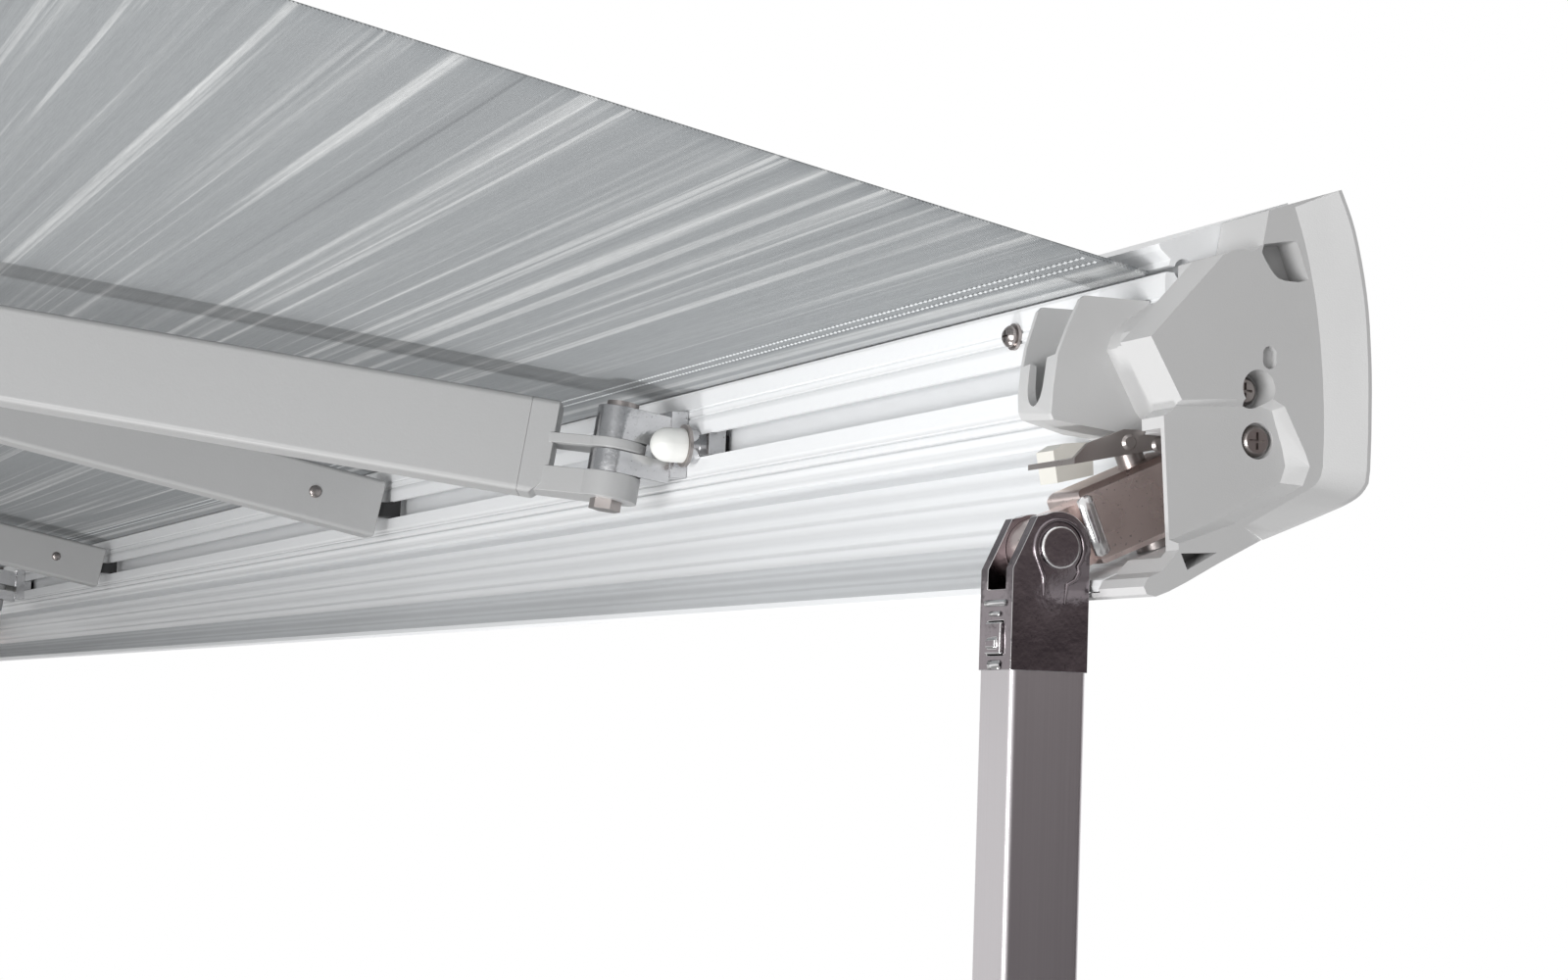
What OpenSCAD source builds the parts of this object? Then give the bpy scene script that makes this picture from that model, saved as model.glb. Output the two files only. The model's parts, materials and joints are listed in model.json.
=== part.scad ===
// Roll-out wall awning, shown rolled out: cassette, roller, two folding arms, lead rail,
// end caps, two rafters, two telescopic legs and the canopy. Millimetres.
// Every piece is drawn with X along the wall, Y pointing away from it and Z up, and the whole
// is mirrored once at the end, so that the awning opens towards -Y. The origin is the centre
// of the wall bolt pattern.

/* [Overall] */
// Length of the lead rail and of the cassette profile
rail_w = 3000; // [2700:10:3400]
// Pivot to pivot length of each arm link
link = 950; // [800:5:980]
// Angle of each arm link from straight out, rolled out
bend = 23; // [18:1:30]
// Slope of the arms, down and outwards
arm_slope = 8.5; // [6:0.5:10]
// Distance of the wrist pivot from the end of the rail
wrist_inset = 470; // [455:5:500]

/* [Cassette] */
// Depth of the cassette from its back face
case_depth = 216; // [210:1:230]
// Height of the shoulder pivot above the cassette floor
shoulder_h = 45; // [43:1:55]
// Height of the roller axis above the shoulder pivot
roller_rise = 76; // [74:1:86]
// Wall thickness of the cassette profiles
case_t = 3; // [2.5:0.5:4]
// Distance from the wall to the shoulder pivot
shoulder_y = 66; // [64:1:76]
// Thickness of the wall brackets behind the cassette
bracket_t = 10; // [8:1:14]

/* [Roller] */
// Outside radius of the roller tube
tube_r = 35; // [30:1:36]
// Wall thickness of the roller tube
tube_t = 1.5; // [1.2:0.1:2.5]
// Thickness of the cloth that stays wound on the roller
wound_t = 2; // [1:0.5:3]

/* [Arms] */
// Thickness of the arm tubes, across the arm
arm_w = 26; // [22:1:27]
// Height of the arm tubes
arm_h = 48; // [46:1:52]
// Wall thickness of the arm tubes
arm_t = 2.2; // [1.8:0.1:3]
// Sideways offset of each tube from its pivot line
arm_offset = 16; // [15:0.5:18]
// Radius of the arm pivot pins
pin_r = 5; // [4:0.5:6]
// Radius of the lugs round the pins
lug_r = 15; // [13:0.5:16]

/* [Lead rail] */
// Wall thickness of the rail profile
rail_t = 2.2; // [1.8:0.1:2.6]
// Distance of the wrist pivot from the rail's inner face
wrist_gap = 34; // [32:1:38]
// Height of the middle of the bracket groove below the hem
groove_z = 25.5; // [24:0.5:27]
// Width of the mouth of the bracket groove
groove_w = 11; // [10:0.5:12]
// Depth of the end cap past the end of the rail
cap_depth = 31; // [28:1:34]
// Depth of the cap's front rim past the end of the rail
rim_depth = 40; // [38:1:44]

/* [Legs] */
// Depth of the outer leg tube, in and out
leg_d = 30; // [28:1:31]
// Width of the outer leg tube, along the rail
leg_w = 24; // [22:1:26]
// Wall thickness of the leg tubes
leg_t = 1.6; // [1.3:0.1:2]
// Length of the outer leg tube
leg_l = 1150; // [900:10:1250]
// Length of the inner leg tube that shows below the outer one
leg_out = 700; // [400:10:720]
// Length of the inner leg tube that stays inside the outer one
leg_in = 330; // [310:10:400]
// Distance from the swivel pin to the knuckle pin
swivel_l = 45; // [42:1:50]

/* [Rafters] */
// Distance of each rafter from the middle of the awning
rafter_x = 500; // [400:10:600]
// Height of the rafter tube
rafter_h = 38; // [32:1:40]
// Width of the rafter tube
rafter_w = 24; // [20:1:28]

/* [Wall fixing] */
// Distance of the outer brackets' bolts from the ends of the cassette
bracket_inset = 200; // [180:10:400]
// Vertical distance between the two bolts of a bracket
bolt_z = 90; // [80:1:100]
// Radius of the wall bolt holes
bolt_r = 4; // [3:0.5:5]

/* [Hidden] */
$fn = 40;
run = 0.05;                 // running clearance round a pin
gap = 0.3;                  // gap between faces on different bodies
half_w = rail_w / 2;
shoulder_x = half_w - wrist_inset;
shoulder_z = -35;
reach = 2 * link * cos(bend);
wrist_out = shoulder_y + reach * cos(arm_slope);
wrist_z = shoulder_z - reach * sin(arm_slope);
hem_out = wrist_out + wrist_gap;
wrist_drop = 31;            // wrist pivot below the hem line
hem_z = wrist_z + wrist_drop;

bolt_x = rail_w - 2 * bracket_inset;
case_back = bracket_t;
floor_z = shoulder_z - shoulder_h;
roller_y = shoulder_y - 5;
roller_z = shoulder_z + roller_rise;
roll_r = tube_r + wound_t;
ceiling_z = roller_z + roll_r + 8;
shelf_y = shoulder_y + 20;
lip_y = case_depth;
end_t = 12;
roof_h = case_t + gap;      // cover's outer face above the ceiling line
flange_t = 4;
flange_y = 40;
flange_bolt_y = 28;
floor_bolt_r = 3;
hook_t = 3;

canopy_t = 1;
canopy_x = half_w - 8;
slope = atan((roller_z + roll_r - hem_z) / (hem_out - roller_y));
canopy_top = [roller_y + roll_r * sin(slope), roller_z + (roll_r + gap) * cos(slope)];
canopy_end = [hem_out - 2, hem_z + 3];
seal_h = 3.2;
seal_back = 7;              // rear face of the seal, behind the front of the cover
lip_z = canopy_top[1] - (lip_y - seal_back - canopy_top[0]) * tan(slope) + canopy_t + seal_h + 0.6;

trough_a = 24;              // slope of the leg trough
pin_out = -36.7;            // knuckle pin, from the hem line
pin_up = -97;
swivel_out = pin_out + swivel_l * cos(trough_a);
swivel_up = pin_up + swivel_l * sin(trough_a);
leg_x = -17;                // middle of the leg, from the end of the rail
knuckle_l = 43;             // knuckle, from its pin down to the tube
plug = 45;                  // from a pivot to the start of the arm tube
fork_in = 10;               // half height of an arm's middle lug
fork_out = 20;              // half height over an arm's fork lugs

steel = [0.62, 0.63, 0.65];
white = [0.93, 0.94, 0.94];
pale = [0.83, 0.84, 0.84];
cast = [0.70, 0.71, 0.72];
dark = [0.16, 0.16, 0.17];

// Frames

module outward() mirror([0, 1, 0]) children();

// A profile drawn as (out, up), swept along X from x0 to x1
module sweep_x(x0, x1) {
  translate([x0, 0, 0]) rotate([90, 0, 90]) linear_extrude(x1 - x0) children();
}

// Both ends of the awning: children are drawn for the +X end
module side(s) {
  if (s > 0) children();
  else mirror([1, 0, 0]) children();
}

// End of the lead rail: X past the end, Y out from the hem line, Z up from it
module rail_end(s) side(s) translate([half_w, hem_out, hem_z]) children();

// Arm plane, origin at the shoulder pivot; children are drawn for the +X side
module arm_plane(s) {
  side(s) translate([shoulder_x, shoulder_y, shoulder_z]) rotate([-arm_slope, 0, 0]) children();
}

// Link frames: Y runs along the link, away from its outer pivot
module upper_frame(s) arm_plane(s) rotate([0, 0, bend]) children();
module fore_frame(s) arm_plane(s) translate([0, reach, 0]) rotate([0, 0, 180 - bend]) children();
module wrist_frame(s) arm_plane(s) translate([0, reach, 0]) children();

// Trough frame: origin at the swivel pin, Y inwards along the trough, Z square to it
module trough_frame(s) {
  rail_end(s) translate([leg_x, swivel_out, swivel_up]) rotate([trough_a, 0, 0])
    mirror([0, 1, 0]) children();
}

// Leg frame: origin at the knuckle pin, Z down the leg
module leg_frame(s) rail_end(s) translate([leg_x, pin_out, pin_up]) mirror([0, 0, 1]) children();

// Shapes

// Rectangle with round corners, centred
module round_rect(w, h, r) {
  square([w - 2 * r, h], center = true);
  square([w, h - 2 * r], center = true);
  for (i = [-1, 1], j = [-1, 1]) translate([i * (w / 2 - r), j * (h / 2 - r)]) circle(r);
}

// Hollow tube of round-cornered section, from z = 0 up
module box_tube(w, h, t, r, l) {
  linear_extrude(l) difference() {
    round_rect(w, h, r);
    round_rect(w - 2 * t, h - 2 * t, max(r - t, 0.5));
  }
}

// Lug: a round end at the pin with a tail that runs to y = l, offset sideways by off
module lug(l, off, w, z0, z1) {
  translate([0, 0, z0]) linear_extrude(z1 - z0) difference() {
    union() {
      circle(lug_r);
      polygon([[-lug_r, 0], [lug_r, 0], [off + w / 2, l], [off - w / 2, l]]);
    }
    circle(pin_r + run);
  }
}

// Plug that fills the end of an arm tube, from y = a to y = b
module arm_plug(off, a, b) {
  translate([off, b, 0]) rotate([90, 0, 0]) linear_extrude(b - a)
    round_rect(arm_w - 2 * arm_t - gap, arm_h - 2 * arm_t - gap, 2);
}

// Collar of an arm casting, flush with the tube, with the front corners cut back
module arm_collar(off, a, b) {
  cut = 8;
  intersection() {
    translate([off, b, 0]) rotate([90, 0, 0]) linear_extrude(b - a) round_rect(arm_w, arm_h, 3);
    translate([off, 0, 0]) rotate([90, 0, 90]) linear_extrude(arm_w, center = true)
      polygon([[b, -arm_h / 2], [a + cut, -arm_h / 2], [a, -arm_h / 2 + cut],
        [a, arm_h / 2], [b, arm_h / 2]]);
  }
}

// Domed screw or bolt head standing on z = 0, with a cross recess
module screw_head(r, h) {
  difference() {
    union() {
      cylinder(r = r, h = h * 0.5);
      translate([0, 0, h * 0.5]) rotate_extrude() intersection() {
        scale(r) translate([0, -0.6]) circle(1.166);
        square([r, h * 0.5]);
      }
    }
    for (a = [0, 90]) rotate([0, 0, a]) translate([-r * 0.55, -r * 0.09, h * 0.45])
      cube([r * 1.1, r * 0.18, h]);
  }
}

// Cassette

module wall_brackets() {
  color(steel) for (x = [-bolt_x / 2, 0, bolt_x / 2]) difference() {
    sweep_x(x - 60, x + 60) union() {
      translate([0, floor_z - flange_t]) square([bracket_t, ceiling_z + roof_h + hook_t - floor_z + flange_t]);
      translate([0, floor_z - flange_t]) square([flange_y, flange_t]);
      translate([0, ceiling_z + roof_h]) square([26, hook_t]);
    }
    for (dx = [-35, 35]) translate([x + dx, flange_bolt_y, floor_z - flange_t - 1])
      cylinder(r = floor_bolt_r + run, h = flange_t + 2);
    for (z = [-bolt_z / 2, bolt_z / 2]) translate([x, -1, z]) rotate([-90, 0, 0])
      cylinder(r = bolt_r, h = bracket_t + 2);
  }
}

module wall_bolts() {
  // Hex bolts that hold the cassette floor to its brackets from below
  color(steel) for (x = [-bolt_x / 2, 0, bolt_x / 2], dx = [-35, 35])
    translate([x + dx, flange_bolt_y, floor_z - flange_t - 5]) {
      cylinder(r = 6.5, h = 5, $fn = 6);
      cylinder(r = floor_bolt_r, h = 5 + flange_t + case_t + 2);
    }
}

module case_back() {
  color(white) sweep_x(-half_w, half_w) {
    translate([case_back, floor_z]) square([case_t, ceiling_z - floor_z]);
    translate([case_back, floor_z]) square([shelf_y - case_back, case_t]);
    translate([shelf_y - case_t, floor_z]) square([case_t, 10]);
    translate([case_back, ceiling_z - 12]) square([10, case_t]);
  }
}

// Section of the cover: a quarter-round roof that ends in a drip lip
module cover_line(o) {
  crown = 60;
  polygon(concat(
    [[case_back, ceiling_z + o]],
    [for (a = [90 : -15 : 30]) [
      lip_y - crown + (crown + o) * cos(a) * 1.155,
      ceiling_z - crown * 0.6 + (crown * 0.6 + o) * sin(a)]],
    [[lip_y + o, lip_z + 12], [lip_y + o, lip_z]],
    [[lip_y - 1, lip_z], [case_back, lip_z]]));
}

module case_cover() {
  color(white) sweep_x(-half_w, half_w) difference() {
    cover_line(roof_h);
    difference() {
      cover_line(gap);
      translate([lip_y - 8, lip_z - 1]) square([12, case_t]);
    }
    translate([case_back - 1, lip_z - 1]) square([case_t + gap + 1, ceiling_z - lip_z + 1 + gap]);
  }
}

module case_end(s) {
  color(pale) side(s) difference() {
    sweep_x(half_w + gap, half_w + end_t) polygon(concat(
      [[case_back, floor_z - 2], [shelf_y + 2, floor_z - 2], [shelf_y + 6, floor_z + 16],
        [shelf_y + 10, lip_z - 20], [shelf_y + 22, lip_z - 4], [lip_y + 3, lip_z - 2],
        [lip_y + 5, lip_z + 14]],
      [for (a = [30 : 15 : 90]) [
        lip_y - 60 + 66 * cos(a) * 1.155, ceiling_z - 36 + 42 * sin(a)]],
      [[case_back, ceiling_z + 6]]));
    translate([half_w, roller_y, roller_z]) rotate([0, 90, 0])
      cylinder(r = 12, h = 6);
  }
}

module case_screws() {
  color(steel) for (s = [-1, 1]) side(s)
    for (p = [[case_back + 12, floor_z + 12], [case_back + 12, ceiling_z - 12],
      [lip_y - 40, ceiling_z - 14]])
      translate([half_w + end_t + 0.05, p[0], p[1]]) rotate([0, 90, 0]) screw_head(5, 3);
}

module case_seal() {
  // Rubber lip under the cover's front edge
  color(dark) sweep_x(-half_w + 2, half_w - 2)
    translate([lip_y - seal_back, lip_z - seal_h]) square([6, seal_h]);
}

gear_x = half_w - 62;
gear_w = 46;
gear_y = roller_y - 22;

module gearbox() {
  color(dark) difference() {
    union() {
      translate([gear_x + gear_w / 2, roller_y, roller_z]) rotate([0, 90, 0])
        cylinder(r = tube_r - 2, h = gear_w, center = true);
      translate([gear_x, gear_y - 14, floor_z + case_t + gap]) cube([gear_w, 28, roller_z - floor_z - 10]);
      translate([gear_x + gear_w, roller_y, roller_z]) rotate([0, 90, 0])
        cylinder(r = 11.7, h = half_w + 5.5 - gear_x - gear_w);
      translate([gear_x + 8, case_back + case_t + gap, floor_z + 30])
        cube([30, gear_y - case_back - case_t, 34]);
    }
    translate([gear_x + gear_w / 2, gear_y, floor_z + case_t]) cylinder(r = 5 + run, h = 26);
  }
}

// The eye hangs from the gearbox through a notch in the cassette floor
module winding_eye() {
  eye_r = 13;
  color(steel) translate([gear_x + gear_w / 2, gear_y, 0]) {
    translate([0, 0, floor_z - 30]) cylinder(r = 5, h = 54);
    translate([0, 0, floor_z - 30 - eye_r + 2]) rotate([90, 0, 0]) rotate_extrude()
      translate([eye_r, 0]) circle(3.5, $fn = 16);
  }
}

module case_back_node() {
  color(white) difference() {
    case_back();
    translate([gear_x + gear_w / 2, gear_y, floor_z - 1]) cylinder(r = 7, h = case_t + 2);
    for (x = [-bolt_x / 2, 0, bolt_x / 2], dx = [-35, 35])
      translate([x + dx, flange_bolt_y, floor_z - 1]) cylinder(r = floor_bolt_r + run, h = case_t + 2);
  }
}

// Roller

roller_a = -half_w + 12;
roller_b = gear_x - 2;

module roller_tube() {
  color(cast) translate([roller_a, roller_y, roller_z]) rotate([0, 90, 0]) difference() {
    cylinder(r = tube_r, h = roller_b - roller_a, $fn = 64);
    translate([0, 0, -1]) cylinder(r = tube_r - tube_t, h = roller_b - roller_a + 2, $fn = 64);
  }
}

module roller_plugs() {
  color(dark) {
    translate([roller_a - 3, roller_y, roller_z]) rotate([0, 90, 0]) {
      cylinder(r = tube_r, h = 3);
      cylinder(r = tube_r - tube_t, h = 33);
      translate([0, 0, -12]) cylinder(r = 7, h = 13);
    }
    translate([roller_b - 40, roller_y, roller_z]) rotate([0, 90, 0]) difference() {
      cylinder(r = tube_r - tube_t, h = 40);
      translate([0, 0, 8]) cylinder(r = 8, h = 40);
    }
  }
}

module roller_bearing() {
  // Bush in the left end plate that carries the roller's stub
  color(dark) translate([-half_w - 5.5, roller_y, roller_z]) rotate([0, 90, 0]) difference() {
    union() {
      cylinder(r = 11.7, h = 5.5 + 8);
      translate([0, 0, 5.8]) cylinder(r = 18, h = 5);
    }
    translate([0, 0, 2]) cylinder(r = 7 + run, h = 20);
  }
}

module wound_cloth() {
  color([0.45, 0.48, 0.5]) translate([roller_a, roller_y, roller_z]) rotate([0, 90, 0]) difference() {
    cylinder(r = roll_r, h = roller_b - roller_a - 2, $fn = 64);
    translate([0, 0, -1]) cylinder(r = tube_r, h = roller_b - roller_a, $fn = 64);
  }
}

// Arms

module shoulder_bracket(s) {
  back = case_back + case_t + gap;
  color(cast) {
    arm_plane(s) difference() {
      for (z = [fork_in + gap, -fork_in - gap - 7]) translate([0, 0, z]) linear_extrude(7) {
        circle(lug_r);
        polygon([[-lug_r, 0], [lug_r, 0], [lug_r + 6, -40], [-lug_r - 6, -40]]);
      }
      translate([0, 0, -30]) cylinder(r = pin_r + run, h = 60);
    }
    side(s) translate([shoulder_x - 26, back, shoulder_z - 26]) cube([52, 16, 62]);
    side(s) translate([shoulder_x - 26, back, floor_z + case_t + gap])
      cube([52, 16, shoulder_h - case_t - 20]);
  }
}

module shoulder_pins() {
  color(steel) for (s = [-1, 1]) arm_plane(s) {
    translate([0, 0, -fork_in - gap - 7 - 3]) cylinder(r = 8, h = 3 - run);
    translate([0, 0, -fork_in - gap - 7 - 3]) cylinder(r = pin_r, h = 2 * (fork_in + gap + 7) + 5);
    translate([0, 0, fork_in + gap + 7 + run]) cylinder(r = 8, h = 2);
  }
}

module arm_tube(off) {
  l = link - 2 * plug;
  translate([off, plug, 0]) rotate([-90, 0, 0]) box_tube(arm_w, arm_h, arm_t, 3, l);
}

module upper_arm(s) color(pale) upper_frame(s) arm_tube(-arm_offset);
module forearm(s) color(pale) fore_frame(s) arm_tube(arm_offset);

// Casting with a middle lug: off is the tube's offset, flip sends it to the far end of the link
module middle_casting(off, flip) {
  translate([0, flip ? link : 0, 0]) mirror([0, flip ? 1 : 0, 0]) {
    lug(plug - 8, off, arm_w - 4, -fork_in, fork_in);
    arm_collar(off, plug - 14, plug - run);
    arm_plug(off, plug - 1, plug + 40);
  }
}

module fork_casting(off, flip) {
  translate([0, flip ? link : 0, 0]) mirror([0, flip ? 1 : 0, 0]) {
    for (z = [[fork_in + gap, fork_out], [-fork_out, -fork_in - gap]])
      lug(plug - 8, off, arm_w - 4, z[0], z[1]);
    arm_collar(off, plug - 14, plug - run);
    arm_plug(off, plug - 1, plug + 40);
  }
}

module shoulder_casting(s) color(cast) upper_frame(s) middle_casting(-arm_offset, false);
module elbow_fork(s) color(cast) upper_frame(s) fork_casting(-arm_offset, true);
module elbow_knuckle(s) color(cast) fore_frame(s) middle_casting(arm_offset, true);

module elbow_pin(s) {
  color(steel) upper_frame(s) translate([0, link, 0]) {
    translate([0, 0, -fork_out - 3]) cylinder(r = 8, h = 3 - run);
    translate([0, 0, -fork_out - 3]) cylinder(r = pin_r, h = 2 * fork_out + 5);
    translate([0, 0, fork_out + run]) cylinder(r = 8, h = 2);
  }
}

// Layers of the wrist, from the tube's middle line
wrist_top = 24;
tongue_top = 7.5;
tongue_low = 2.5;
knuckle_low = -9;
lug_low = -22;

module wrist_casting(s) {
  color(cast) fore_frame(s) {
    lug(plug - 8, arm_offset, arm_w - 4, tongue_low, tongue_top);
    lug(plug - 8, arm_offset, arm_w - 4, lug_low, knuckle_low - gap);
    arm_collar(arm_offset, plug - 14, plug - run);
    arm_plug(arm_offset, plug - 1, plug + 40);
  }
}

// Groove bracket: two lugs round the wrist pin, on a foot that slides into the rail's groove
bumper_x = 24;

module wrist_bracket(s) {
  foot_y = wrist_out + wrist_gap;
  groove_up = hem_z - groove_z;
  color(steel) {
    wrist_frame(s) difference() {
      for (z = [[tongue_top + gap, wrist_top], [knuckle_low, tongue_low - gap]])
        translate([0, 0, z[0]]) linear_extrude(z[1] - z[0]) {
          circle(12);
          polygon([[-6, -10], [12, 0], [12, 26], [-10, 26], [-12, 0]]);
        }
      translate([0, 0, -30]) cylinder(r = pin_r + run, h = 60);
    }
    side(s) translate([shoulder_x, foot_y, groove_up]) {
      translate([-14, -9, -15]) cube([27, 8.7, 33]);
      translate([bumper_x, -0.3, 0]) rotate([90, 0, 0]) cylinder(r = 8.5, h = 5.1);
      translate([-12, -gap - 1, -groove_w / 2 + gap]) cube([56, rail_t + 2, groove_w - 2 * gap]);
      translate([-12, rail_t + 0.3, -9]) cube([56, 5, 18]);
    }
  }
}

module wrist_pins() {
  color(steel) for (s = [-1, 1]) wrist_frame(s) {
    translate([0, 0, lug_low - 5]) cylinder(r = 8, h = 5 - run, $fn = 6);
    translate([0, 0, lug_low - 5]) cylinder(r = pin_r, h = wrist_top - lug_low + 6);
    translate([0, 0, wrist_top + run]) cylinder(r = 8, h = 3);
  }
}

module bumpers() {
  color(white) for (s = [-1, 1]) side(s)
    translate([shoulder_x + bumper_x, wrist_out + wrist_gap - 5.4, hem_z - groove_z])
      rotate([90, 0, 0]) {
        translate([0, 0, 1.8]) cylinder(r = 8.5, h = 8);
        translate([0, 0, 9.8]) rotate_extrude() intersection() {
          circle(8.5);
          square(9);
        }
      }
}

module bumper_washers() {
  color(steel) for (s = [-1, 1]) side(s)
    translate([shoulder_x + bumper_x, wrist_out + wrist_gap - 5.4, hem_z - groove_z])
      rotate([90, 0, 0]) cylinder(r = 10.5, h = 1.7);
}

// Lead rail

// Outer line of the rail profile, as (out, up) from the hem line
rail_line = [[-3, 12], [20, 21], [50, 32], [53.5, 14], [56, -9], [57.8, -28], [57.8, -66],
  [55, -72], [48, -77.5], [28, -87], [-18.5, -111.2], [-22, -111.6], [-23, -110], [-22.5, -107.6],
  [-18, -105.6], [28, -85], [29, -54], [0, -54], [0, 1], [2, 7], [-2, 10]];

module rail_section() {
  slot_top = -groove_z + groove_w / 2;
  slot_low = -groove_z - groove_w / 2;
  difference() {
    polygon(rail_line);
    // Keder channel at the hem
    translate([7.5, 3.5]) circle(4, $fn = 24);
    translate([-1, 2.3]) square([7, 2.2]);
    // Groove for the arm brackets
    translate([rail_t, slot_low - 5]) square([9.8, groove_w + 10]);
    translate([-1, slot_low]) square([rail_t + 2, groove_w]);
    // Closed chambers
    translate([rail_t, -52 + rail_t]) square([9.8, slot_low - 5 + 52 - 2 * rail_t]);
    polygon([[12 + rail_t, 2], [22.5, 8.5], [24.5, 20], [48.5, 29 - rail_t], [51.3, 12], [53.7, -10],
      [55.5, -29], [55.5, -65], [53, -70.2], [46.5, -75.6], [31.2, -83], [31.2, -52 + rail_t],
      [12 + rail_t, -52 + rail_t]]);
    // Fine grooves along the inner face
    for (z = [-7, -11, -41, -45]) translate([0, z]) circle(0.7, $fn = 12);
  }
}

module rail_profile() {
  color(white) translate([0, hem_out, hem_z]) sweep_x(-half_w, half_w) rail_section();
}

// Smooth line through points, with steps points from each one to the next
function knot(p, i) = p[max(0, min(i, len(p) - 1))];
function between(a, b, c, d, t) = 0.5 * (2 * b + (c - a) * t + (2 * a - 5 * b + 4 * c - d) * t * t
  + (3 * b - a - 3 * c + d) * t * t * t);
function curve(p, steps) = concat(
  [for (i = [0 : len(p) - 2], j = [0 : steps - 1])
    between(knot(p, i - 1), p[i], p[i + 1], knot(p, i + 2), j / steps)],
  [p[len(p) - 1]]);

// Front line of the end cap, from its top corner down and back to its lower tip
front_line = concat(
  curve([[46, 30], [52, 16.2], [57.2, -5.6], [59.5, -27.7], [60.1, -50], [59.8, -67]], 4),
  curve([[59.2, -71.5], [56.7, -75], [52, -78.4], [39.7, -84.5], [22, -92.8]], 3));
tail_line = [[5, -101.8], [-7, -108.6], [-14, -112.2], [-19, -114.2]];
cap_line = concat(
  [[-23.2, -26], [4.7, 4.6], [8, 6.1], [11.9, 7], [17, 7.2], [20.3, 9.5], [22.5, 21.7]],
  front_line, tail_line,
  [[-22.5, -113.6], [-23.8, -111], [-22, -107.8], [-17, -105.6], [-10.5, -98], [-14, -52], [-9.5, -48.6]]);

// Crease where the cap's face turns into its slanting front, and the depth of the front's edge
crease_line = concat(
  curve([[33, 24], [38.2, 9], [42.6, -10], [45.3, -30], [46.6, -50], [46.4, -66]], 4),
  curve([[45.6, -69.5], [43.6, -72.2], [40, -74.6], [28.5, -81], [15, -88.5]], 3));

// Hollow behind the cap's face, where the leg's swivel stands
pocket_line = [[-20, -56], [26, -56], [26, -86], [-8, -99], [-24, -104]];

// Lower panel of the face, set back from it
panel_d = 6;
panel_line = [[-40, -49.5], [13, -47], [25, -43.5], [30.5, -46], [39.3, -61.6], [41.2, -66.2],
  [38.5, -73], [12, -87.5], [-9.5, -95.5], [-40, -103]];
panel_floor = [[-40, -50.5], [13, -48.5], [24, -46], [29, -47], [33.6, -60], [35, -66],
  [33, -72], [10, -85.5], [-9, -93.8], [-40, -101]];
face_t = 2.5;

// Screws of the cap: place, hole and depth of the head below its face
deep_screw = [20, -40.5];
deep_hole_r = 6.5;
deep_hole_d = 12;
panel_screw = [23.5, -58];
panel_hole_r = 6.4;
panel_hole_d = 3.2;

module end_cap(s) {
  color(pale) rail_end(s) {
    difference() {
      union() {
        difference() {
          union() {
            sweep_x(gap, cap_depth) polygon(cap_line);
            front_slope();
          }
          // Leg pocket, open behind and at its inner side
          sweep_x(-1, cap_depth - panel_d - face_t) polygon(pocket_line);
          // Hollow block, open towards the rail
          sweep_x(-1, cap_depth - panel_d - face_t) polygon([[-17, -26], [6, -2], [14, 3], [24, -4],
            [52, -12], [55, -30], [55, -66], [34, -78], [29, -52], [-4, -50]]);
          // Block set back behind its side face
          sweep_x(-1, block_side) polygon([[-30, -60], [-30, 10], [5, 10], [5, -1], [-17, -21],
            [-18.8, -26], [-5, -49], [-8, -60]]);
        }
        for (p = [deep_screw, panel_screw]) translate([gap, p[0], p[1]]) rotate([0, 90, 0])
          cylinder(r = deep_hole_r + 2, h = cap_depth - gap - panel_d);
      }
      // Panel set back from the face, with a sloping wall round it
      hull() {
        sweep_x(cap_depth - panel_d, cap_depth - panel_d + 0.1) polygon(panel_floor);
        sweep_x(cap_depth + 0.1, cap_depth + 0.2) polygon(panel_line);
      }
      // Small recess with round ends
      for (z = [-28.2, -30.8]) translate([cap_depth - 3, 24, z]) rotate([0, 90, 0]) cylinder(r = 2.7, h = 9);
      translate([cap_depth - 3, 21.3, -30.8]) cube([9, 5.4, 2.6]);
      // Screw holes
      translate([cap_depth - deep_hole_d, deep_screw[0], deep_screw[1]]) rotate([0, 90, 0])
        cylinder(r = deep_hole_r, h = 20);
      translate([cap_depth - panel_d - panel_hole_d, panel_screw[0], panel_screw[1]])
        rotate([0, 90, 0]) cylinder(r = panel_hole_r, h = 20);
      // Window between the block and the lip
      sweep_x(cap_depth - 12, rim_depth) polygon(concat(
        curve([[20.8, 9.8], [32, 11.9], [34.3, 11], [36.4, 6], [39.2, -1]], 3),
        curve([[35.1, -2.2], [27, -1.7], [22.1, 3.4], [20, 7]], 3)));
      // Triangular window behind the lower lip
      sweep_x(cap_depth - 14, cap_depth + 1) polygon([[-9.6, -99.1], [4.6, -98], [-7, -104.6]]);
    }
    cradle();
    // Curved tongue that closes the end of the rail's lower lip
    sweep_x(-16, gap + 1) polygon([[-22.5, -113.6], [-19, -114.2], [-14, -112.6], [-4, -107.3],
      [8, -101], [8, -97.8], [-18.5, -111.6], [-23.2, -112.1]]);
  }
}

block_side = 10;            // how far the block's side face reaches back

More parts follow.
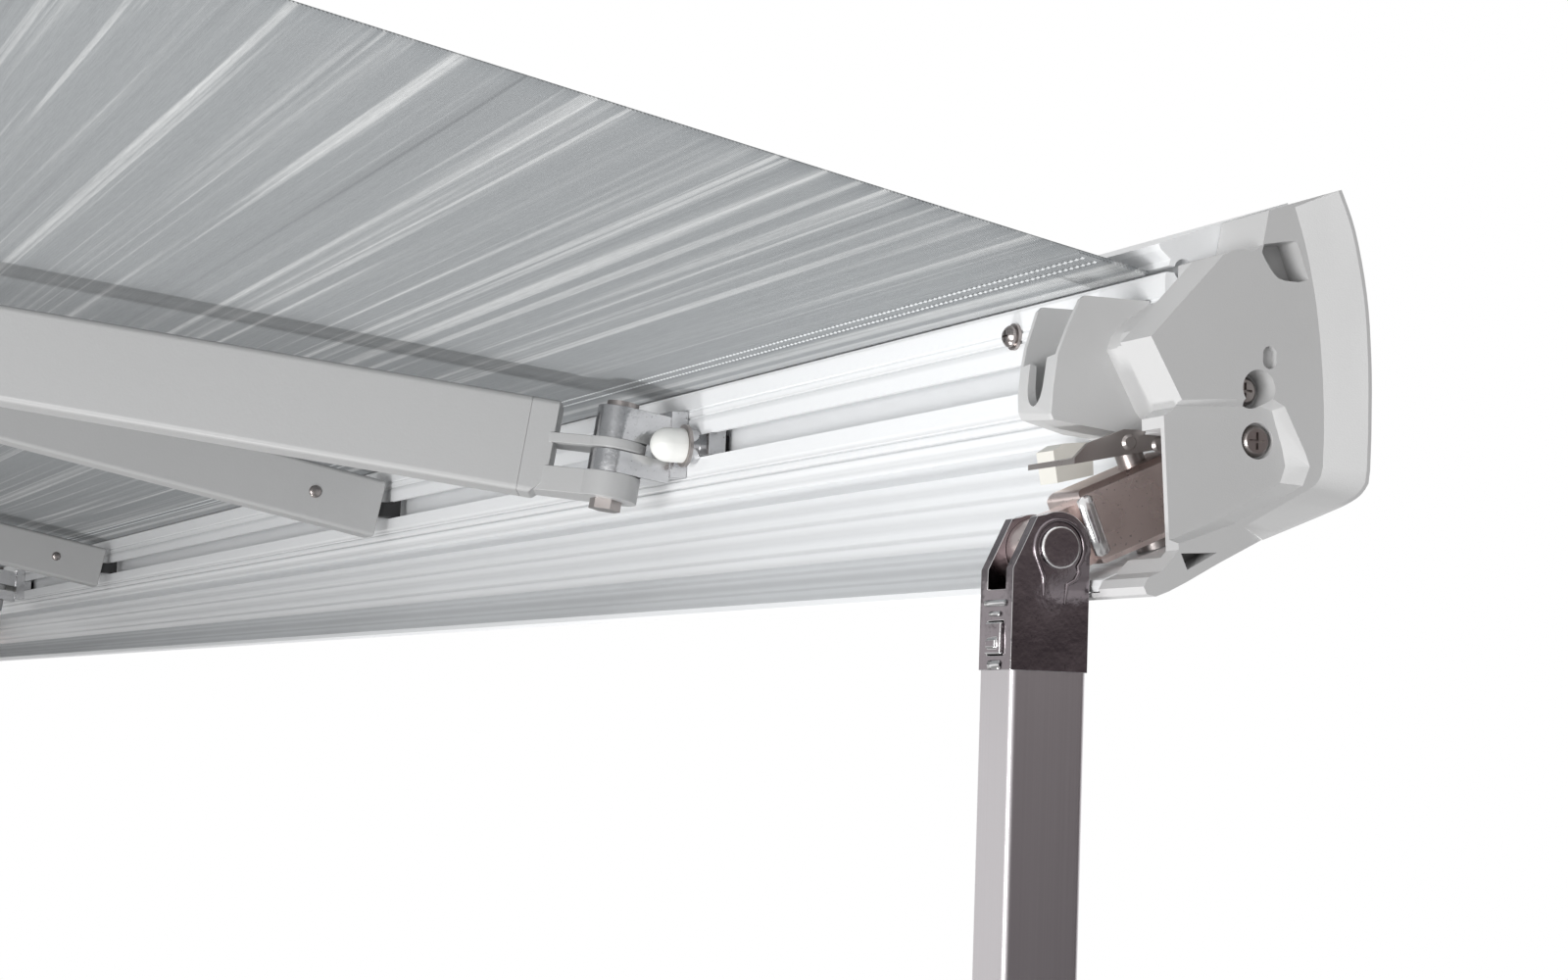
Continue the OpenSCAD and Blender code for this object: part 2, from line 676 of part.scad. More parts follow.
// Slanting front: a band from the crease on the cap's face to the thin edge of its rim
module front_slope() {
  n = len(crease_line);
  x0 = cap_depth;
  edge_x = [for (i = [0 : n - 1]) front_line[i][1] > -80 ? rim_depth
    : rim_depth + (cap_depth + 1 - rim_depth) * (-80 - front_line[i][1]) / 13];
  edge = [for (i = [0 : n - 1])
    front_line[i] + 1.4 * (crease_line[i] - front_line[i]) / norm(crease_line[i] - front_line[i])];
  points = [for (i = [0 : n - 1])
    each [[x0, crease_line[i][0], crease_line[i][1]], [edge_x[i], edge[i][0], edge[i][1]],
      [edge_x[i], front_line[i][0], front_line[i][1]], [x0, front_line[i][0], front_line[i][1]]]];
  sides = [for (i = [0 : n - 2], j = [0 : 3])
    let (a = 4 * i + j, b = 4 * i + (j + 1) % 4) each [[a, b, a + 4], [b, b + 4, a + 4]]];
  polyhedron(points, concat([[0, 2, 1], [0, 3, 2]], sides,
    [[4 * n - 4, 4 * n - 3, 4 * n - 2], [4 * n - 4, 4 * n - 2, 4 * n - 1]]));
}

// Cradle on the cap's inner side, open at the top, that meets the cassette when it closes
module cradle() {
  far = -48;
  near = -10;
  t = 2.2;
  near_front = [[-36.5, -28.7], [-38, -40], [-38.6, -50], [-36.4, -50], [-35.8, -40], [-34.4, -29.3]];
  far_front = [[-31.2, -29.5], [-32, -40], [-31.6, -46], [-29.4, -46], [-29.7, -40], [-29, -30]];
  near_floor = [[-38.6, -49.8], [-37.6, -52], [-13, -54.6], [-gap, -55], [-gap, -52.8], [-36, -49.6]];
  far_floor = [[-31.6, -45.8], [-30.2, -48.6], [-13, -52.6], [-gap, -53.4], [-gap, -51], [-29.2, -46.2]];
  difference() {
    union() {
      sweep_x(near - t, near) polygon([[-gap, -7], [-26.3, -7.3], [-28.1, -8.7], [-32.7, -18.8],
        [-36.5, -28.7], [-38, -40], [-38.6, -50], [-37.6, -52], [-13, -54.6], [-gap, -55]]);
      sweep_x(far, far + t) polygon([[-gap, -6.5], [-23.9, -7], [-25.7, -8.8], [-30, -22.5],
        [-31.2, -29.5], [-32, -40], [-31.6, -46], [-30.2, -48.6], [-13, -52.6], [-gap, -53.4]]);
      hull() {
        sweep_x(near - t, near) polygon(near_front);
        sweep_x(far, far + t) polygon(far_front);
      }
      hull() {
        sweep_x(near - t, near) polygon(near_floor);
        sweep_x(far, far + t) polygon(far_floor);
      }
      // Back of the cradle, against the rail's inner face
      sweep_x(far, near) polygon([[-gap, -7], [-2.5, -7], [-2.5, -54], [-gap, -54]]);
      // Web that joins the cradle to the block
      sweep_x(near - t, block_side + 2) polygon([[-gap, -8], [-12, -17], [-15.5, -21], [-17.2, -26],
        [-5, -47], [-gap, -52]]);
    }
    // Notch in the front wall
    translate([(far + near) / 2, -60, 0]) {
      translate([0, 0, -37]) rotate([-90, 0, 0]) cylinder(r = 8.5, h = 50);
      translate([-8.5, 0, -37]) cube([17, 50, 20]);
    }
    sweep_x(near + 2, block_side) polygon([[-3, -14], [-13, -23], [-5, -44], [-3, -46]]);
  }
}

module rail_screws() {
  color(steel) for (s = [-1, 1]) rail_end(s) {
    translate([cap_depth - deep_hole_d + run, deep_screw[0], deep_screw[1]]) rotate([0, 90, 0])
      screw_head(deep_hole_r - 1.3, 3);
    translate([cap_depth - panel_d - panel_hole_d + run, panel_screw[0], panel_screw[1]])
      rotate([0, 90, 0]) screw_head(panel_hole_r - 0.9, 3);
    // Domed stop bolt and its washer on the rail's inner face, inboard of the cradle
    translate([-112, -0.05, -8.5]) rotate([90, 0, 0]) {
      cylinder(r = 5.2, h = 1.4);
      translate([0, 0, 1.4]) screw_head(4.2, 3.4);
    }
  }
}

// Leg swivel

// The swivel block round its pin: below it, above it and towards the knuckle
block_low = 12;
block_top = 15.5;
block_end = 31;
block_w = 24;
trough_floor = 15.1;        // trough floor below the swivel pin's middle
plate_line = [[-34.5, -68.1], [12, -57.8], [12, -54.2], [7, -54.2], [7, -56.9], [-34.5, -66.1]];

module swivel_block_shape() {
  difference() {
    union() {
      // Body round the swivel pin, rounded at its end
      translate([-block_w / 2, -13, -block_low]) cube([block_w, 13 + block_end - 3, block_low + block_top]);
      translate([-block_w / 2, block_end - 3, -block_low + 3]) cube([block_w, 3, block_low + block_top - 6]);
      for (z = [-block_low + 3, block_top - 3]) translate([-block_w / 2, block_end - 3, z])
        rotate([0, 90, 0]) cylinder(r = 3, h = block_w);
      // Tongue between the knuckle's cheeks
      translate([-6.5, 20, 0]) rotate([0, 90, 0]) linear_extrude(13) union() {
        translate([0, swivel_l - 20]) circle(11);
        translate([-11, 0]) square([22, swivel_l - 20]);
      }
    }
    translate([0, 0, -20]) cylinder(r = 5 + run, h = 40);
    translate([-20, swivel_l, 0]) rotate([0, 90, 0]) cylinder(r = 5 + run, h = 40);
    // Chamfers along the near edges
    for (z = [-block_low, block_top], x = [-1, 1]) translate([x * block_w / 2, 6, z])
      rotate([0, 45, 0]) cube([3, 60, 3], center = true);
  }
}

module swivel_blocks() color(dark) for (s = [-1, 1]) trough_frame(s) swivel_block_shape();

module swivel_pins() {
  color(steel) for (s = [-1, 1]) trough_frame(s) translate([0, 0, -trough_floor]) {
    cylinder(r = 5, h = trough_floor + 22.2);
    cylinder(r = 9, h = trough_floor - block_low - gap);
  }
}

module leg_plates() {
  // Steel cover over the swivel, with a side flange turned up along its near edge
  color([0.66, 0.62, 0.58]) for (s = [-1, 1]) difference() {
    rail_end(s) {
      sweep_x(-34, 0) polygon(plate_line);
      sweep_x(-2, 0) polygon([[-34.5, -68.1], [-34.5, -66], [-29.4, -60.6], [-15, -54.6], [7, -54.2], [12, -57.8]]);
    }
    trough_frame(s) cylinder(r = 5 + run, h = 40);
    rail_end(s) for (y = rivet_at) translate([-3, y, -59.2]) rotate([0, 90, 0]) cylinder(r = 2, h = 4);
  }
}

rivet_at = [-13, -1];

module plate_rivets() {
  color(steel) for (s = [-1, 1], y = rivet_at) rail_end(s) translate([-2.6, y, -59.2]) rotate([0, 90, 0]) {
    cylinder(r = 1.95, h = 3);
    translate([0, 0, 2.6 + run]) cylinder(r1 = 2.9, r2 = 2, h = 1);
  }
}

module leg_clips() {
  // Tab that holds the folded leg in the trough
  color([0.9, 0.88, 0.8]) for (s = [-1, 1]) rail_end(s) difference() {
    sweep_x(-62, -49) polygon([[20, -54.4], [-1.5, -54.4], [-12, -55.6], [-16.4, -58.5], [-14.2, -70.2],
      [0.6, -66.4], [0, -57.5], [20, -57]]);
    translate([-55.5, -9, -80]) cylinder(r = 2.2, h = 40);
  }
}

// Legs

module knuckle_body() {
  half = leg_w / 2;
  edge = leg_d / 2;
  mid = -2.8;               // leg's middle, out from the pin
  difference() {
    union() {
      // Cheeks and body in one outline, swept across the leg
      translate([-half, 0, 0]) rotate([90, 0, 90]) linear_extrude(leg_w) union() {
        translate([0, 0]) circle(12.5);
        polygon([[mid - edge, 8], [mid - 6, -10.5], [0, -12.5], [12.2, 0], [mid + edge, 6],
          [mid + edge, knuckle_l], [mid - edge, knuckle_l]]);
      }
      // Plug inside the leg tube
      translate([0, mid, knuckle_l - 1]) linear_extrude(26)
        round_rect(leg_w - 2 * leg_t - gap, leg_d - 2 * leg_t - gap, 1.5);
    }
    // Slot for the swivel's tongue
    translate([-6.5 - gap, -40, -20]) cube([13 + 2 * gap, 80, 35]);
    translate([-20, 0, 0]) rotate([0, 90, 0]) cylinder(r = 5 + run, h = 40);
    // Window for the latch in the inner side
    translate([-6, mid - edge - 1, 26]) cube([12, 9, 12]);
  }
}

module knuckle(s) color(dark) leg_frame(s) knuckle_body();

module knuckle_pins() {
  color(steel) for (s = [-1, 1]) leg_frame(s) rotate([0, 90, 0]) {
    cylinder(r = 5, h = leg_w + 1, center = true);
    for (z = [-1, 1]) translate([0, 0, z * (leg_w / 2 + 0.9)]) cylinder(r = 7.5, h = 1.6, center = true);
  }
}

module latch(s) {
  color(dark) leg_frame(s) translate([-5.6, -2.8 - leg_d / 2 - 1.2, 26.4]) union() {
    cube([11.2, 6, 11.2]);
    translate([2, -1, 6]) cube([7.2, 1.2, 3]);
  }
}

module outer_leg(s) {
  color(pale) leg_frame(s) translate([0, -2.8, knuckle_l]) box_tube(leg_w, leg_d, leg_t, 2.5, leg_l);
}

inner_w = leg_w - 2 * leg_t - 1;
inner_d = leg_d - 2 * leg_t - 1;

module inner_leg(s) {
  color(cast) leg_frame(s) translate([0, -2.8, knuckle_l + leg_l - leg_in])
    box_tube(inner_w, inner_d, leg_t, 2, leg_in + leg_out);
}

module foot(s) {
  color(dark) leg_frame(s) translate([0, -2.8, knuckle_l + leg_l + leg_out]) {
    translate([0, 0, -25]) linear_extrude(25) round_rect(inner_w - 2 * leg_t - gap, inner_d - 2 * leg_t - gap, 1);
    linear_extrude(8) round_rect(52, 60, 12);
    translate([0, 0, -8]) linear_extrude(8.1) difference() {
      round_rect(inner_w + 8, inner_d + 8, 4);
      round_rect(inner_w + gap, inner_d + gap, 2);
    }
  }
}

// Soft goods

module canopy() {
  color([0.5, 0.54, 0.56]) sweep_x(-canopy_x, canopy_x) polygon([
    canopy_top, canopy_end, canopy_end + [0, canopy_t], canopy_top + [0, canopy_t]]);
}

// Rafters, straight under the cloth: lifted out before the awning rolls in

hook_y = roller_y + roll_r + 5;         // upright of the rafter hook, just in front of the roll
hook_z = roller_z - roll_r - 5;         // hook arm, between the roll and the folded arms
rafter_front = [hem_out - 9, hem_z - groove_z];
rafter_rear_y = hook_y + 12;
rafter_rear = [rafter_rear_y, rafter_front[1] + (rafter_front[0] - rafter_rear_y) * tan(slope)];
rafter_l = norm(rafter_front - rafter_rear);

module rafter_frame(s) {
  side(s) translate([rafter_x, rafter_front[0], rafter_front[1]]) rotate([90 - slope, 0, 0])
    children();
}

module rafter_tubes() {
  color(pale) for (s = [-1, 1]) rafter_frame(s) rotate([0, 0, 90])
    box_tube(rafter_h, rafter_w, 1.8, 3, rafter_l);
}

// Front plug with its tongue in the rail's groove, and rear plug with a pin for the hook
module rafter_ends() {
  color(dark) for (s = [-1, 1]) {
    rafter_frame(s) for (z = [0.1, rafter_l - 30.1]) translate([0, 0, z]) rotate([0, 0, 90])
      linear_extrude(30) round_rect(rafter_h - 4, rafter_w - 4, 2);
    side(s) translate([rafter_x - 7, hem_out, hem_z - groove_z]) {
      translate([0, -14, -groove_w / 2 + 0.7]) cube([14, 14 + rail_t + 0.5, groove_w - 1.4]);
      translate([0, rail_t + 0.3, -8]) cube([14, 4, 16]);
    }
    side(s) translate([rafter_x - 5, hook_y + 2.6, rafter_rear[1] - 5]) cube([10, 16, 7]);
  }
}

// Steel hooks that reach from the cassette's back, under the roll, to the rafters' rear ends
module rafter_hooks() {
  hook_w = 24;
  back = case_back + case_t;
  color(steel) for (s = [-1, 1]) side(s) difference() {
    sweep_x(rafter_x - hook_w / 2, rafter_x + hook_w / 2) {
      translate([back, hook_z - 16]) square([2.5, 16 + 2.5]);
      translate([back, hook_z]) square([hook_y + 2.5 - back, 2.5]);
      translate([hook_y, hook_z]) square([2.5, rafter_rear[1] + 8 - hook_z]);
    }
    translate([rafter_x - 5.3, hook_y - 1, rafter_rear[1] - 5.3]) cube([10.6, 5, 7.6]);
  }
}

// Assembly

outward() wall_brackets();
outward() wall_bolts();
outward() case_back_node();  // case_back
outward() case_cover();
outward() case_end(-1);  // case_end_left
outward() case_end(1);  // case_end_right
outward() case_screws();
outward() gearbox();
outward() winding_eye();
outward() roller_tube();
outward() roller_plugs();
outward() roller_bearing();
outward() wound_cloth();
outward() case_seal();
outward() shoulder_bracket(-1);  // shoulder_bracket_left
outward() shoulder_bracket(1);  // shoulder_bracket_right
outward() shoulder_pins();
outward() upper_arm(-1);  // upper_arm_left
outward() upper_arm(1);  // upper_arm_right
outward() shoulder_casting(-1);  // shoulder_casting_left
outward() shoulder_casting(1);  // shoulder_casting_right
outward() elbow_fork(-1);  // elbow_fork_left
outward() elbow_fork(1);  // elbow_fork_right
outward() elbow_pin(-1);  // elbow_pin_left
outward() elbow_pin(1);  // elbow_pin_right
outward() forearm(-1);  // forearm_left
outward() forearm(1);  // forearm_right
outward() elbow_knuckle(-1);  // elbow_knuckle_left
outward() elbow_knuckle(1);  // elbow_knuckle_right
outward() wrist_casting(-1);  // wrist_casting_left
outward() wrist_casting(1);  // wrist_casting_right
outward() wrist_bracket(-1);  // wrist_bracket_left
outward() wrist_bracket(1);  // wrist_bracket_right
outward() wrist_pins();
outward() bumpers();
outward() bumper_washers();
outward() rail_profile();
outward() end_cap(-1);  // end_cap_left
outward() end_cap(1);  // end_cap_right
outward() rail_screws();
outward() leg_plates();
outward() plate_rivets();
outward() leg_clips();
outward() swivel_blocks();
outward() swivel_pins();
outward() knuckle(-1);  // knuckle_left
outward() knuckle(1);  // knuckle_right
outward() knuckle_pins();
outward() latch(-1);  // latch_left
outward() latch(1);  // latch_right
outward() outer_leg(-1);  // outer_leg_left
outward() outer_leg(1);  // outer_leg_right
outward() inner_leg(-1);  // inner_leg_left
outward() inner_leg(1);  // inner_leg_right
outward() foot(-1);  // foot_left
outward() foot(1);  // foot_right
outward() canopy();
outward() rafter_tubes();
outward() rafter_ends();
outward() rafter_hooks();
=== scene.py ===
import json
import math
import random

import bmesh
import bpy
from bpy.props import FloatProperty, FloatVectorProperty, PointerProperty
from mathutils import Matrix, Vector

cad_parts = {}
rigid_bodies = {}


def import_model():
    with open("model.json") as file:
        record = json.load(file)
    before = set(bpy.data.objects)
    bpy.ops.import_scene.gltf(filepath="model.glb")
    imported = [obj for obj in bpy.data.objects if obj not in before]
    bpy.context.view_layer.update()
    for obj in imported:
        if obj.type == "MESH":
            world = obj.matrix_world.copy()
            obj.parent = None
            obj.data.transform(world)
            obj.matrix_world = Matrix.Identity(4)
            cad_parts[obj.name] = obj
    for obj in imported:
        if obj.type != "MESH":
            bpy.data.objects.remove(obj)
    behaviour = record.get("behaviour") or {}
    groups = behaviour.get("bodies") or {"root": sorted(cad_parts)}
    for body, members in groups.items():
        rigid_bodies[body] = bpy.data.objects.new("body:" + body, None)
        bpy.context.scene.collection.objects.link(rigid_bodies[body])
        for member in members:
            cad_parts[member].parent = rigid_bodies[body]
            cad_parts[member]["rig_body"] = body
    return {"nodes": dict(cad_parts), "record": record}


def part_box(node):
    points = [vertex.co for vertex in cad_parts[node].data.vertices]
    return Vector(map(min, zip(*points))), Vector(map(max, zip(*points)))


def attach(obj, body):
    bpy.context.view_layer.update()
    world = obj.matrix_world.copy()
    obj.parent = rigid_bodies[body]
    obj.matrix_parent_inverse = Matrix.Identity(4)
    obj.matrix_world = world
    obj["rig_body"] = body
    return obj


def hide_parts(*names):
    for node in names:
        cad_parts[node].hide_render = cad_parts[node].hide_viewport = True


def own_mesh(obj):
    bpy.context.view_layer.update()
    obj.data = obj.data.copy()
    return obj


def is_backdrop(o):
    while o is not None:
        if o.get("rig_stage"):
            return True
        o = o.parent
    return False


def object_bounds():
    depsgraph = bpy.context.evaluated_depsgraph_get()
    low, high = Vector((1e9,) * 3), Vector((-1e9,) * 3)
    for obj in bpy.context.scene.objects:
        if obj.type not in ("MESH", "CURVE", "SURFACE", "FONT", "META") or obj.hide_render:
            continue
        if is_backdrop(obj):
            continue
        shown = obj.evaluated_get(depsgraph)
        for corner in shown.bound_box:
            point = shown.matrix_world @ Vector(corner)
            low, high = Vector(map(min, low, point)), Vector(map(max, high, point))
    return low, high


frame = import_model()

bl_info = {
    "name": "Roll-out awning",
    "version": (1, 0, 0),
    "blender": (4, 5, 0),
    "location": "3D View > Sidebar > Awning",
    "description": "Cloth, mouldings, castings, paint and studio for a roll-out awning",
    "category": "Object",
}

CAD_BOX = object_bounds()
ENDS = {"left": -1, "right": 1}

# The hem line is where the cloth leaves the lead rail: y grows towards the wall, z upwards.
CLOTH_LOW, CLOTH_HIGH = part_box("canopy")
ROLL_LOW, ROLL_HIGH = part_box("wound_cloth")
RAFTER_LOW, RAFTER_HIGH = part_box("rafter_tubes")
HEM_Y = CLOTH_LOW.y - 0.002
HEM_Z = CLOTH_LOW.z - 0.003
HALF_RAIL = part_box("rail_profile")[1].x
HALF_CLOTH = CLOTH_HIGH.x
ROLL_Y = (ROLL_LOW.y + ROLL_HIGH.y) / 2
ROLL_Z = (ROLL_LOW.z + ROLL_HIGH.z) / 2
ROLL_R = (ROLL_HIGH.z - ROLL_LOW.z) / 2
CLOTH_SLOPE = math.atan2(CLOTH_HIGH.z - CLOTH_LOW.z, CLOTH_HIGH.y - CLOTH_LOW.y)
ALONG_CLOTH = Vector((0, math.cos(CLOTH_SLOPE), math.sin(CLOTH_SLOPE)))
BELOW_CLOTH = Vector((0, math.sin(CLOTH_SLOPE), -math.cos(CLOTH_SLOPE)))


def rail_point(end, past, out, up):
    """A point by the lead rail: past its end, out from the hem line and up from it."""
    return Vector((end * (HALF_RAIL + past), HEM_Y - out, HEM_Z + up))


class Value:
    """A shader socket that takes part in Python expressions."""

    def __init__(self, finish, socket):
        self.finish = finish
        self.socket = socket

    def maths(self, operation, *others, swap=False):
        terms = [self, *others]
        if swap:
            terms.reverse()
        return self.finish.node("Math", {"operation": operation}, dict(enumerate(terms)))

    def __add__(self, other):
        return self.maths("ADD", other)

    __radd__ = __add__

    def __sub__(self, other):
        return self.maths("SUBTRACT", other)

    def __rsub__(self, other):
        return self.maths("SUBTRACT", other, swap=True)

    def __mul__(self, other):
        return self.maths("MULTIPLY", other)

    def __truediv__(self, other):
        return self.maths("DIVIDE", other)

    def __abs__(self):
        return self.maths("ABSOLUTE")

    def sine(self):
        return self.maths("SINE")

    def fraction(self):
        return self.maths("FRACT")

    def smooth(self, low, high):
        """0 below low, 1 above high and smooth between them."""
        settings = {"interpolation_type": "SMOOTHSTEP"}
        return self.finish.node("MapRange", settings, {0: self, 1: low, 2: high})


class Finish:
    """One material, its Principled shader and the nodes behind it."""

    def __init__(self, name, **shader):
        self.material = bpy.data.materials.new(name)
        self.material.use_nodes = True
        self.tree = self.material.node_tree
        self.shader = self.tree.nodes["Principled BSDF"]
        self.set(**shader)

    def set(self, **values):
        """Sets or links the shader's sockets: base_color stands for Base Color."""
        for name, value in values.items():
            self.join(self.shader.inputs[name.replace("_", " ").title()], value)

    def join(self, socket, value):
        if isinstance(value, Value):
            self.tree.links.new(value.socket, socket)
        elif socket.type == "RGBA":
            socket.default_value = (*tuple(value)[:3], 1.0)
        else:
            socket.default_value = value

    def node(self, kind, settings=None, inputs=None, output=0):
        """Adds a node with its settings first, then its sockets' values or links."""
        node = self.tree.nodes.new("ShaderNode" + kind)
        for name, value in (settings or {}).items():
            if name == "stops":
                self.fill_ramp(node.color_ramp, value)
            else:
                setattr(node, name, value)
        for socket, value in (inputs or {}).items():
            self.join(node.inputs[socket], value)
        return Value(self, node.outputs[output])

    def fill_ramp(self, ramp, stops):
        while len(ramp.elements) > 1:
            ramp.elements.remove(ramp.elements[-1])
        for index, (place, colour) in enumerate(stops):
            element = ramp.elements[0] if index == 0 else ramp.elements.new(place)
            element.position = place
            element.color = (*colour, 1.0)

    def place(self):
        """Position on the piece, in metres."""
        return self.node("TexCoord", output="Object")

    def axis(self, letter):
        return self.node("SeparateXYZ", inputs={0: self.place()}, output="XYZ".index(letter))

    def scaled(self, *scale):
        """The place, stretched: larger numbers give finer detail along that axis."""
        return self.node("Mapping", inputs={"Vector": self.place(), "Scale": scale})

    def noise(self, scale, detail=2.0, rough=0.5, place=None):
        place = place or self.place()
        inputs = {"Vector": place, "Scale": scale, "Detail": detail, "Roughness": rough}
        return self.node("TexNoise", inputs=inputs)

    def mix(self, factor, first, second):
        """A colour between two colours."""
        return self.node("Mix", {"data_type": "RGBA"}, {0: factor, 6: first, 7: second}, 2)

    def tint(self, colour, factor, amount):
        """The colour, made darker and lighter by amount as factor runs from 0 to 1."""
        dark = tuple(c * (1 - amount) for c in colour)
        light = tuple(min(c * (1 + amount), 1) for c in colour)
        return self.mix(factor, dark, light)

    def bump(self, height, distance, strength=1.0, normal=None):
        inputs = {"Height": height, "Distance": distance, "Strength": strength}
        if normal is not None:
            inputs["Normal"] = normal
        return self.node("Bump", inputs=inputs)


def painted_metal(name, colour, roughness=0.38, drawn=False, ribs=()):
    """Powder coat, with a faint orange peel; drawn adds the lines of an extrusion.

    ribs are grooves along the profile: height from the hem line, half width and painted shade, how much
    each groove's colour is darkened where shade falls in it.
    """
    finish = Finish(name)
    peel = finish.noise(620, detail=3)
    cloud = finish.noise(5, detail=3)
    height = peel
    if drawn:
        lines = finish.noise(1.0, detail=3, place=finish.scaled(0.4, 520, 520))
        height = peel * 0.5 + lines * 0.6
    shade = finish.tint(colour, cloud, 0.02)
    level = finish.axis("Z") - HEM_Z
    for middle, half_width, groove_shade in ribs:
        groove = 1 - abs(level - middle).smooth(half_width * 0.2, half_width)
        height = height - groove * 4
        # Painted shade: the colour darkens in each groove.
        shade = finish.mix(groove * groove_shade, shade, tuple(c * 0.5 for c in colour))
    finish.set(
        base_color=shade,
        roughness=roughness + (cloud - 0.5) * 0.12,
        normal=finish.bump(height, 0.00006),
    )
    return finish.material


def moulded_plastic(name, colour, roughness=0.5):
    """Fine-grained moulding with a soft sheen and slightly uneven colour."""
    finish = Finish(name)
    grain = finish.noise(1900, detail=2)
    cloud = finish.noise(22, detail=3)
    finish.set(
        base_color=finish.tint(colour, cloud, 0.03),
        roughness=roughness + (cloud - 0.5) * 0.14,
        normal=finish.bump(grain, 0.00005),
    )
    return finish.material


PORE = (0.05, 0.05, 0.05)


def cast_metal(name, colour, roughness, unevenness=0.25):
    """Die casting: a smooth skin with shallow waves and small dark pores."""
    finish = Finish(name, metallic=1.0)
    waves = finish.noise(75, detail=3)
    pores = finish.noise(900, detail=2)
    marks = pores.smooth(0.66, 0.74)
    patches = finish.noise(34, detail=4, rough=0.6)
    finish.set(
        base_color=finish.mix(marks * 0.5, finish.tint(colour, patches, unevenness), PORE),
        roughness=roughness + (patches - 0.5) * 0.2,
        normal=finish.bump(waves * 4 + pores * 0.3, 0.00012),
    )
    return finish.material


def plated_steel(name, colour, roughness=0.3):
    """Bright zinc plate with faint spangle and rubbed patches."""
    finish = Finish(name, metallic=1.0)
    spangle = finish.noise(260, detail=3)
    rubbed = finish.noise(40, detail=4, rough=0.65)
    finish.set(
        base_color=finish.tint(colour, rubbed, 0.14),
        roughness=roughness + (rubbed - 0.5) * 0.25,
        normal=finish.bump(spangle, 0.00003),
    )
    return finish.material


def drawn_aluminium(name, colour, roughness=0.32):
    """Anodised tube: hair lines run down its length."""
    finish = Finish(name, metallic=0.9)
    lines = finish.noise(1.0, detail=4, rough=0.6, place=finish.scaled(1500, 1500, 2))
    cloud = finish.noise(9, detail=3)
    finish.set(
        base_color=finish.tint(colour, lines, 0.07),
        roughness=roughness + (cloud - 0.5) * 0.1 + (lines - 0.5) * 0.1,
        normal=finish.bump(lines, 0.00003),
    )
    return finish.material


def black_rubber(name, colour=(0.035, 0.035, 0.037)):
    finish = Finish(name)
    grain = finish.noise(700, detail=4, rough=0.6)
    finish.set(
        base_color=finish.tint(colour, finish.noise(30, detail=3), 0.2),
        roughness=0.78 + (grain - 0.5) * 0.2,
        normal=finish.bump(grain, 0.0001),
    )
    return finish.material


def stripe_stops(seed, count):
    """Ramp stops for irregular stripes: grey where there is none, lighter or darker on a line."""
    draw = random.Random(seed)
    plain = (0.5, 0.5, 0.5)
    stops = [(0.0, plain)]
    for index in range(count):
        centre = (index + 0.5 + draw.uniform(-0.3, 0.3)) / count
        width = draw.choice((0.003, 0.0045, 0.009)) * draw.uniform(0.7, 1.4)
        tone = draw.uniform(0.7, 1.0) if draw.random() < 0.72 else draw.uniform(0.12, 0.3)
        stops += [(centre - width, plain), (centre - width * 0.4, (tone, tone, tone))]
        stops += [(centre + width * 0.4, (tone, tone, tone)), (centre + width, plain)]
    return stops


# The cloth's stripes: the seed and the relative repeat of each layer.
STRIPE_LAYERS = ((3, 1.0), (8, 1.618), (21, 0.727))
# Slubs in the weft, by how fine and how strong: soft broad bands, then light streaks.
SLUB_BANDS = ((26, 0.3), (120, 0.34), (420, 0.3))
SLUB_STREAKS = ((90, 0.2), (210, 0.3), (450, 0.22))


def striped_cloth(name, settings, along):
    """Woven awning cloth: stripes across the run-out, threads both ways.

    along is how the run-out is measured: a function that takes the finish and gives metres.
    """
    finish = Finish(name, sheen_weight=0.12, sheen_roughness=0.5)
    run = along(finish)
    side = finish.axis("X")
    tone = 0.5
    for seed, scale in STRIPE_LAYERS:
        place = (run / (settings.stripe_repeat * scale)).fraction()
        line = finish.node("ValToRGB", {"stops": stripe_stops(seed, 7)}, {0: place})
        fade = finish.noise(1.0, detail=2, place=finish.scaled(0.9 / scale, 7, 7)).smooth(0.3, 0.62)
        tone = (line - 0.5) * fade * 0.75 + tone
    for fine, weight in SLUB_BANDS:
        band = finish.noise(1.0, detail=1, place=finish.scaled(0.5 + fine * 0.004, fine, fine))
        tone = (band - 0.5) * weight + tone
    for fine, weight in SLUB_STREAKS:
        streak = finish.noise(1.0, detail=0, place=finish.scaled(1.1, fine, fine))
        tone = streak.smooth(0.62, 0.8) * weight + tone
    lighter = finish.mix(tone.smooth(0.5, 1.0), settings.ground, settings.light_stripe)
    colour = finish.mix((0.5 - tone).smooth(0.0, 0.5), lighter, settings.dark_stripe)
    turn = 2 * math.pi / settings.weave_pitch
    weave = (run * turn).sine() * (side * turn).sine()
    threads = finish.noise(1.0, detail=3, place=finish.scaled(60, 1100, 1100))
    shade = finish.mix(threads.smooth(0.35, 0.7) * 0.16, colour, settings.dark_stripe)
    shade = finish.mix(weave.smooth(-0.9, 0.9) * 0.2, shade, settings.dark_stripe)
    finish.set(
        base_color=shade,
        roughness=0.74 + (threads - 0.5) * 0.2,
        normal=finish.bump(weave * 0.6 + threads * 1.2, 0.00018, 0.8),
    )
    return finish.material


def mesh_piece(name, points, faces, finish, body, slot=None, smooth=True):
    """A made piece from points in the frame, set to ride on its body."""
    mesh = bpy.data.meshes.new(name)
    mesh.from_pydata([tuple(p) for p in points], [], faces)
    mesh.validate()
    mesh.materials.append(finish)
    mesh.polygons.foreach_set("use_smooth", [smooth] * len(mesh.polygons))
    piece = bpy.data.objects.new(name, mesh)
    bpy.context.scene.collection.objects.link(piece)
    if body:
        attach(piece, body)
    return piece


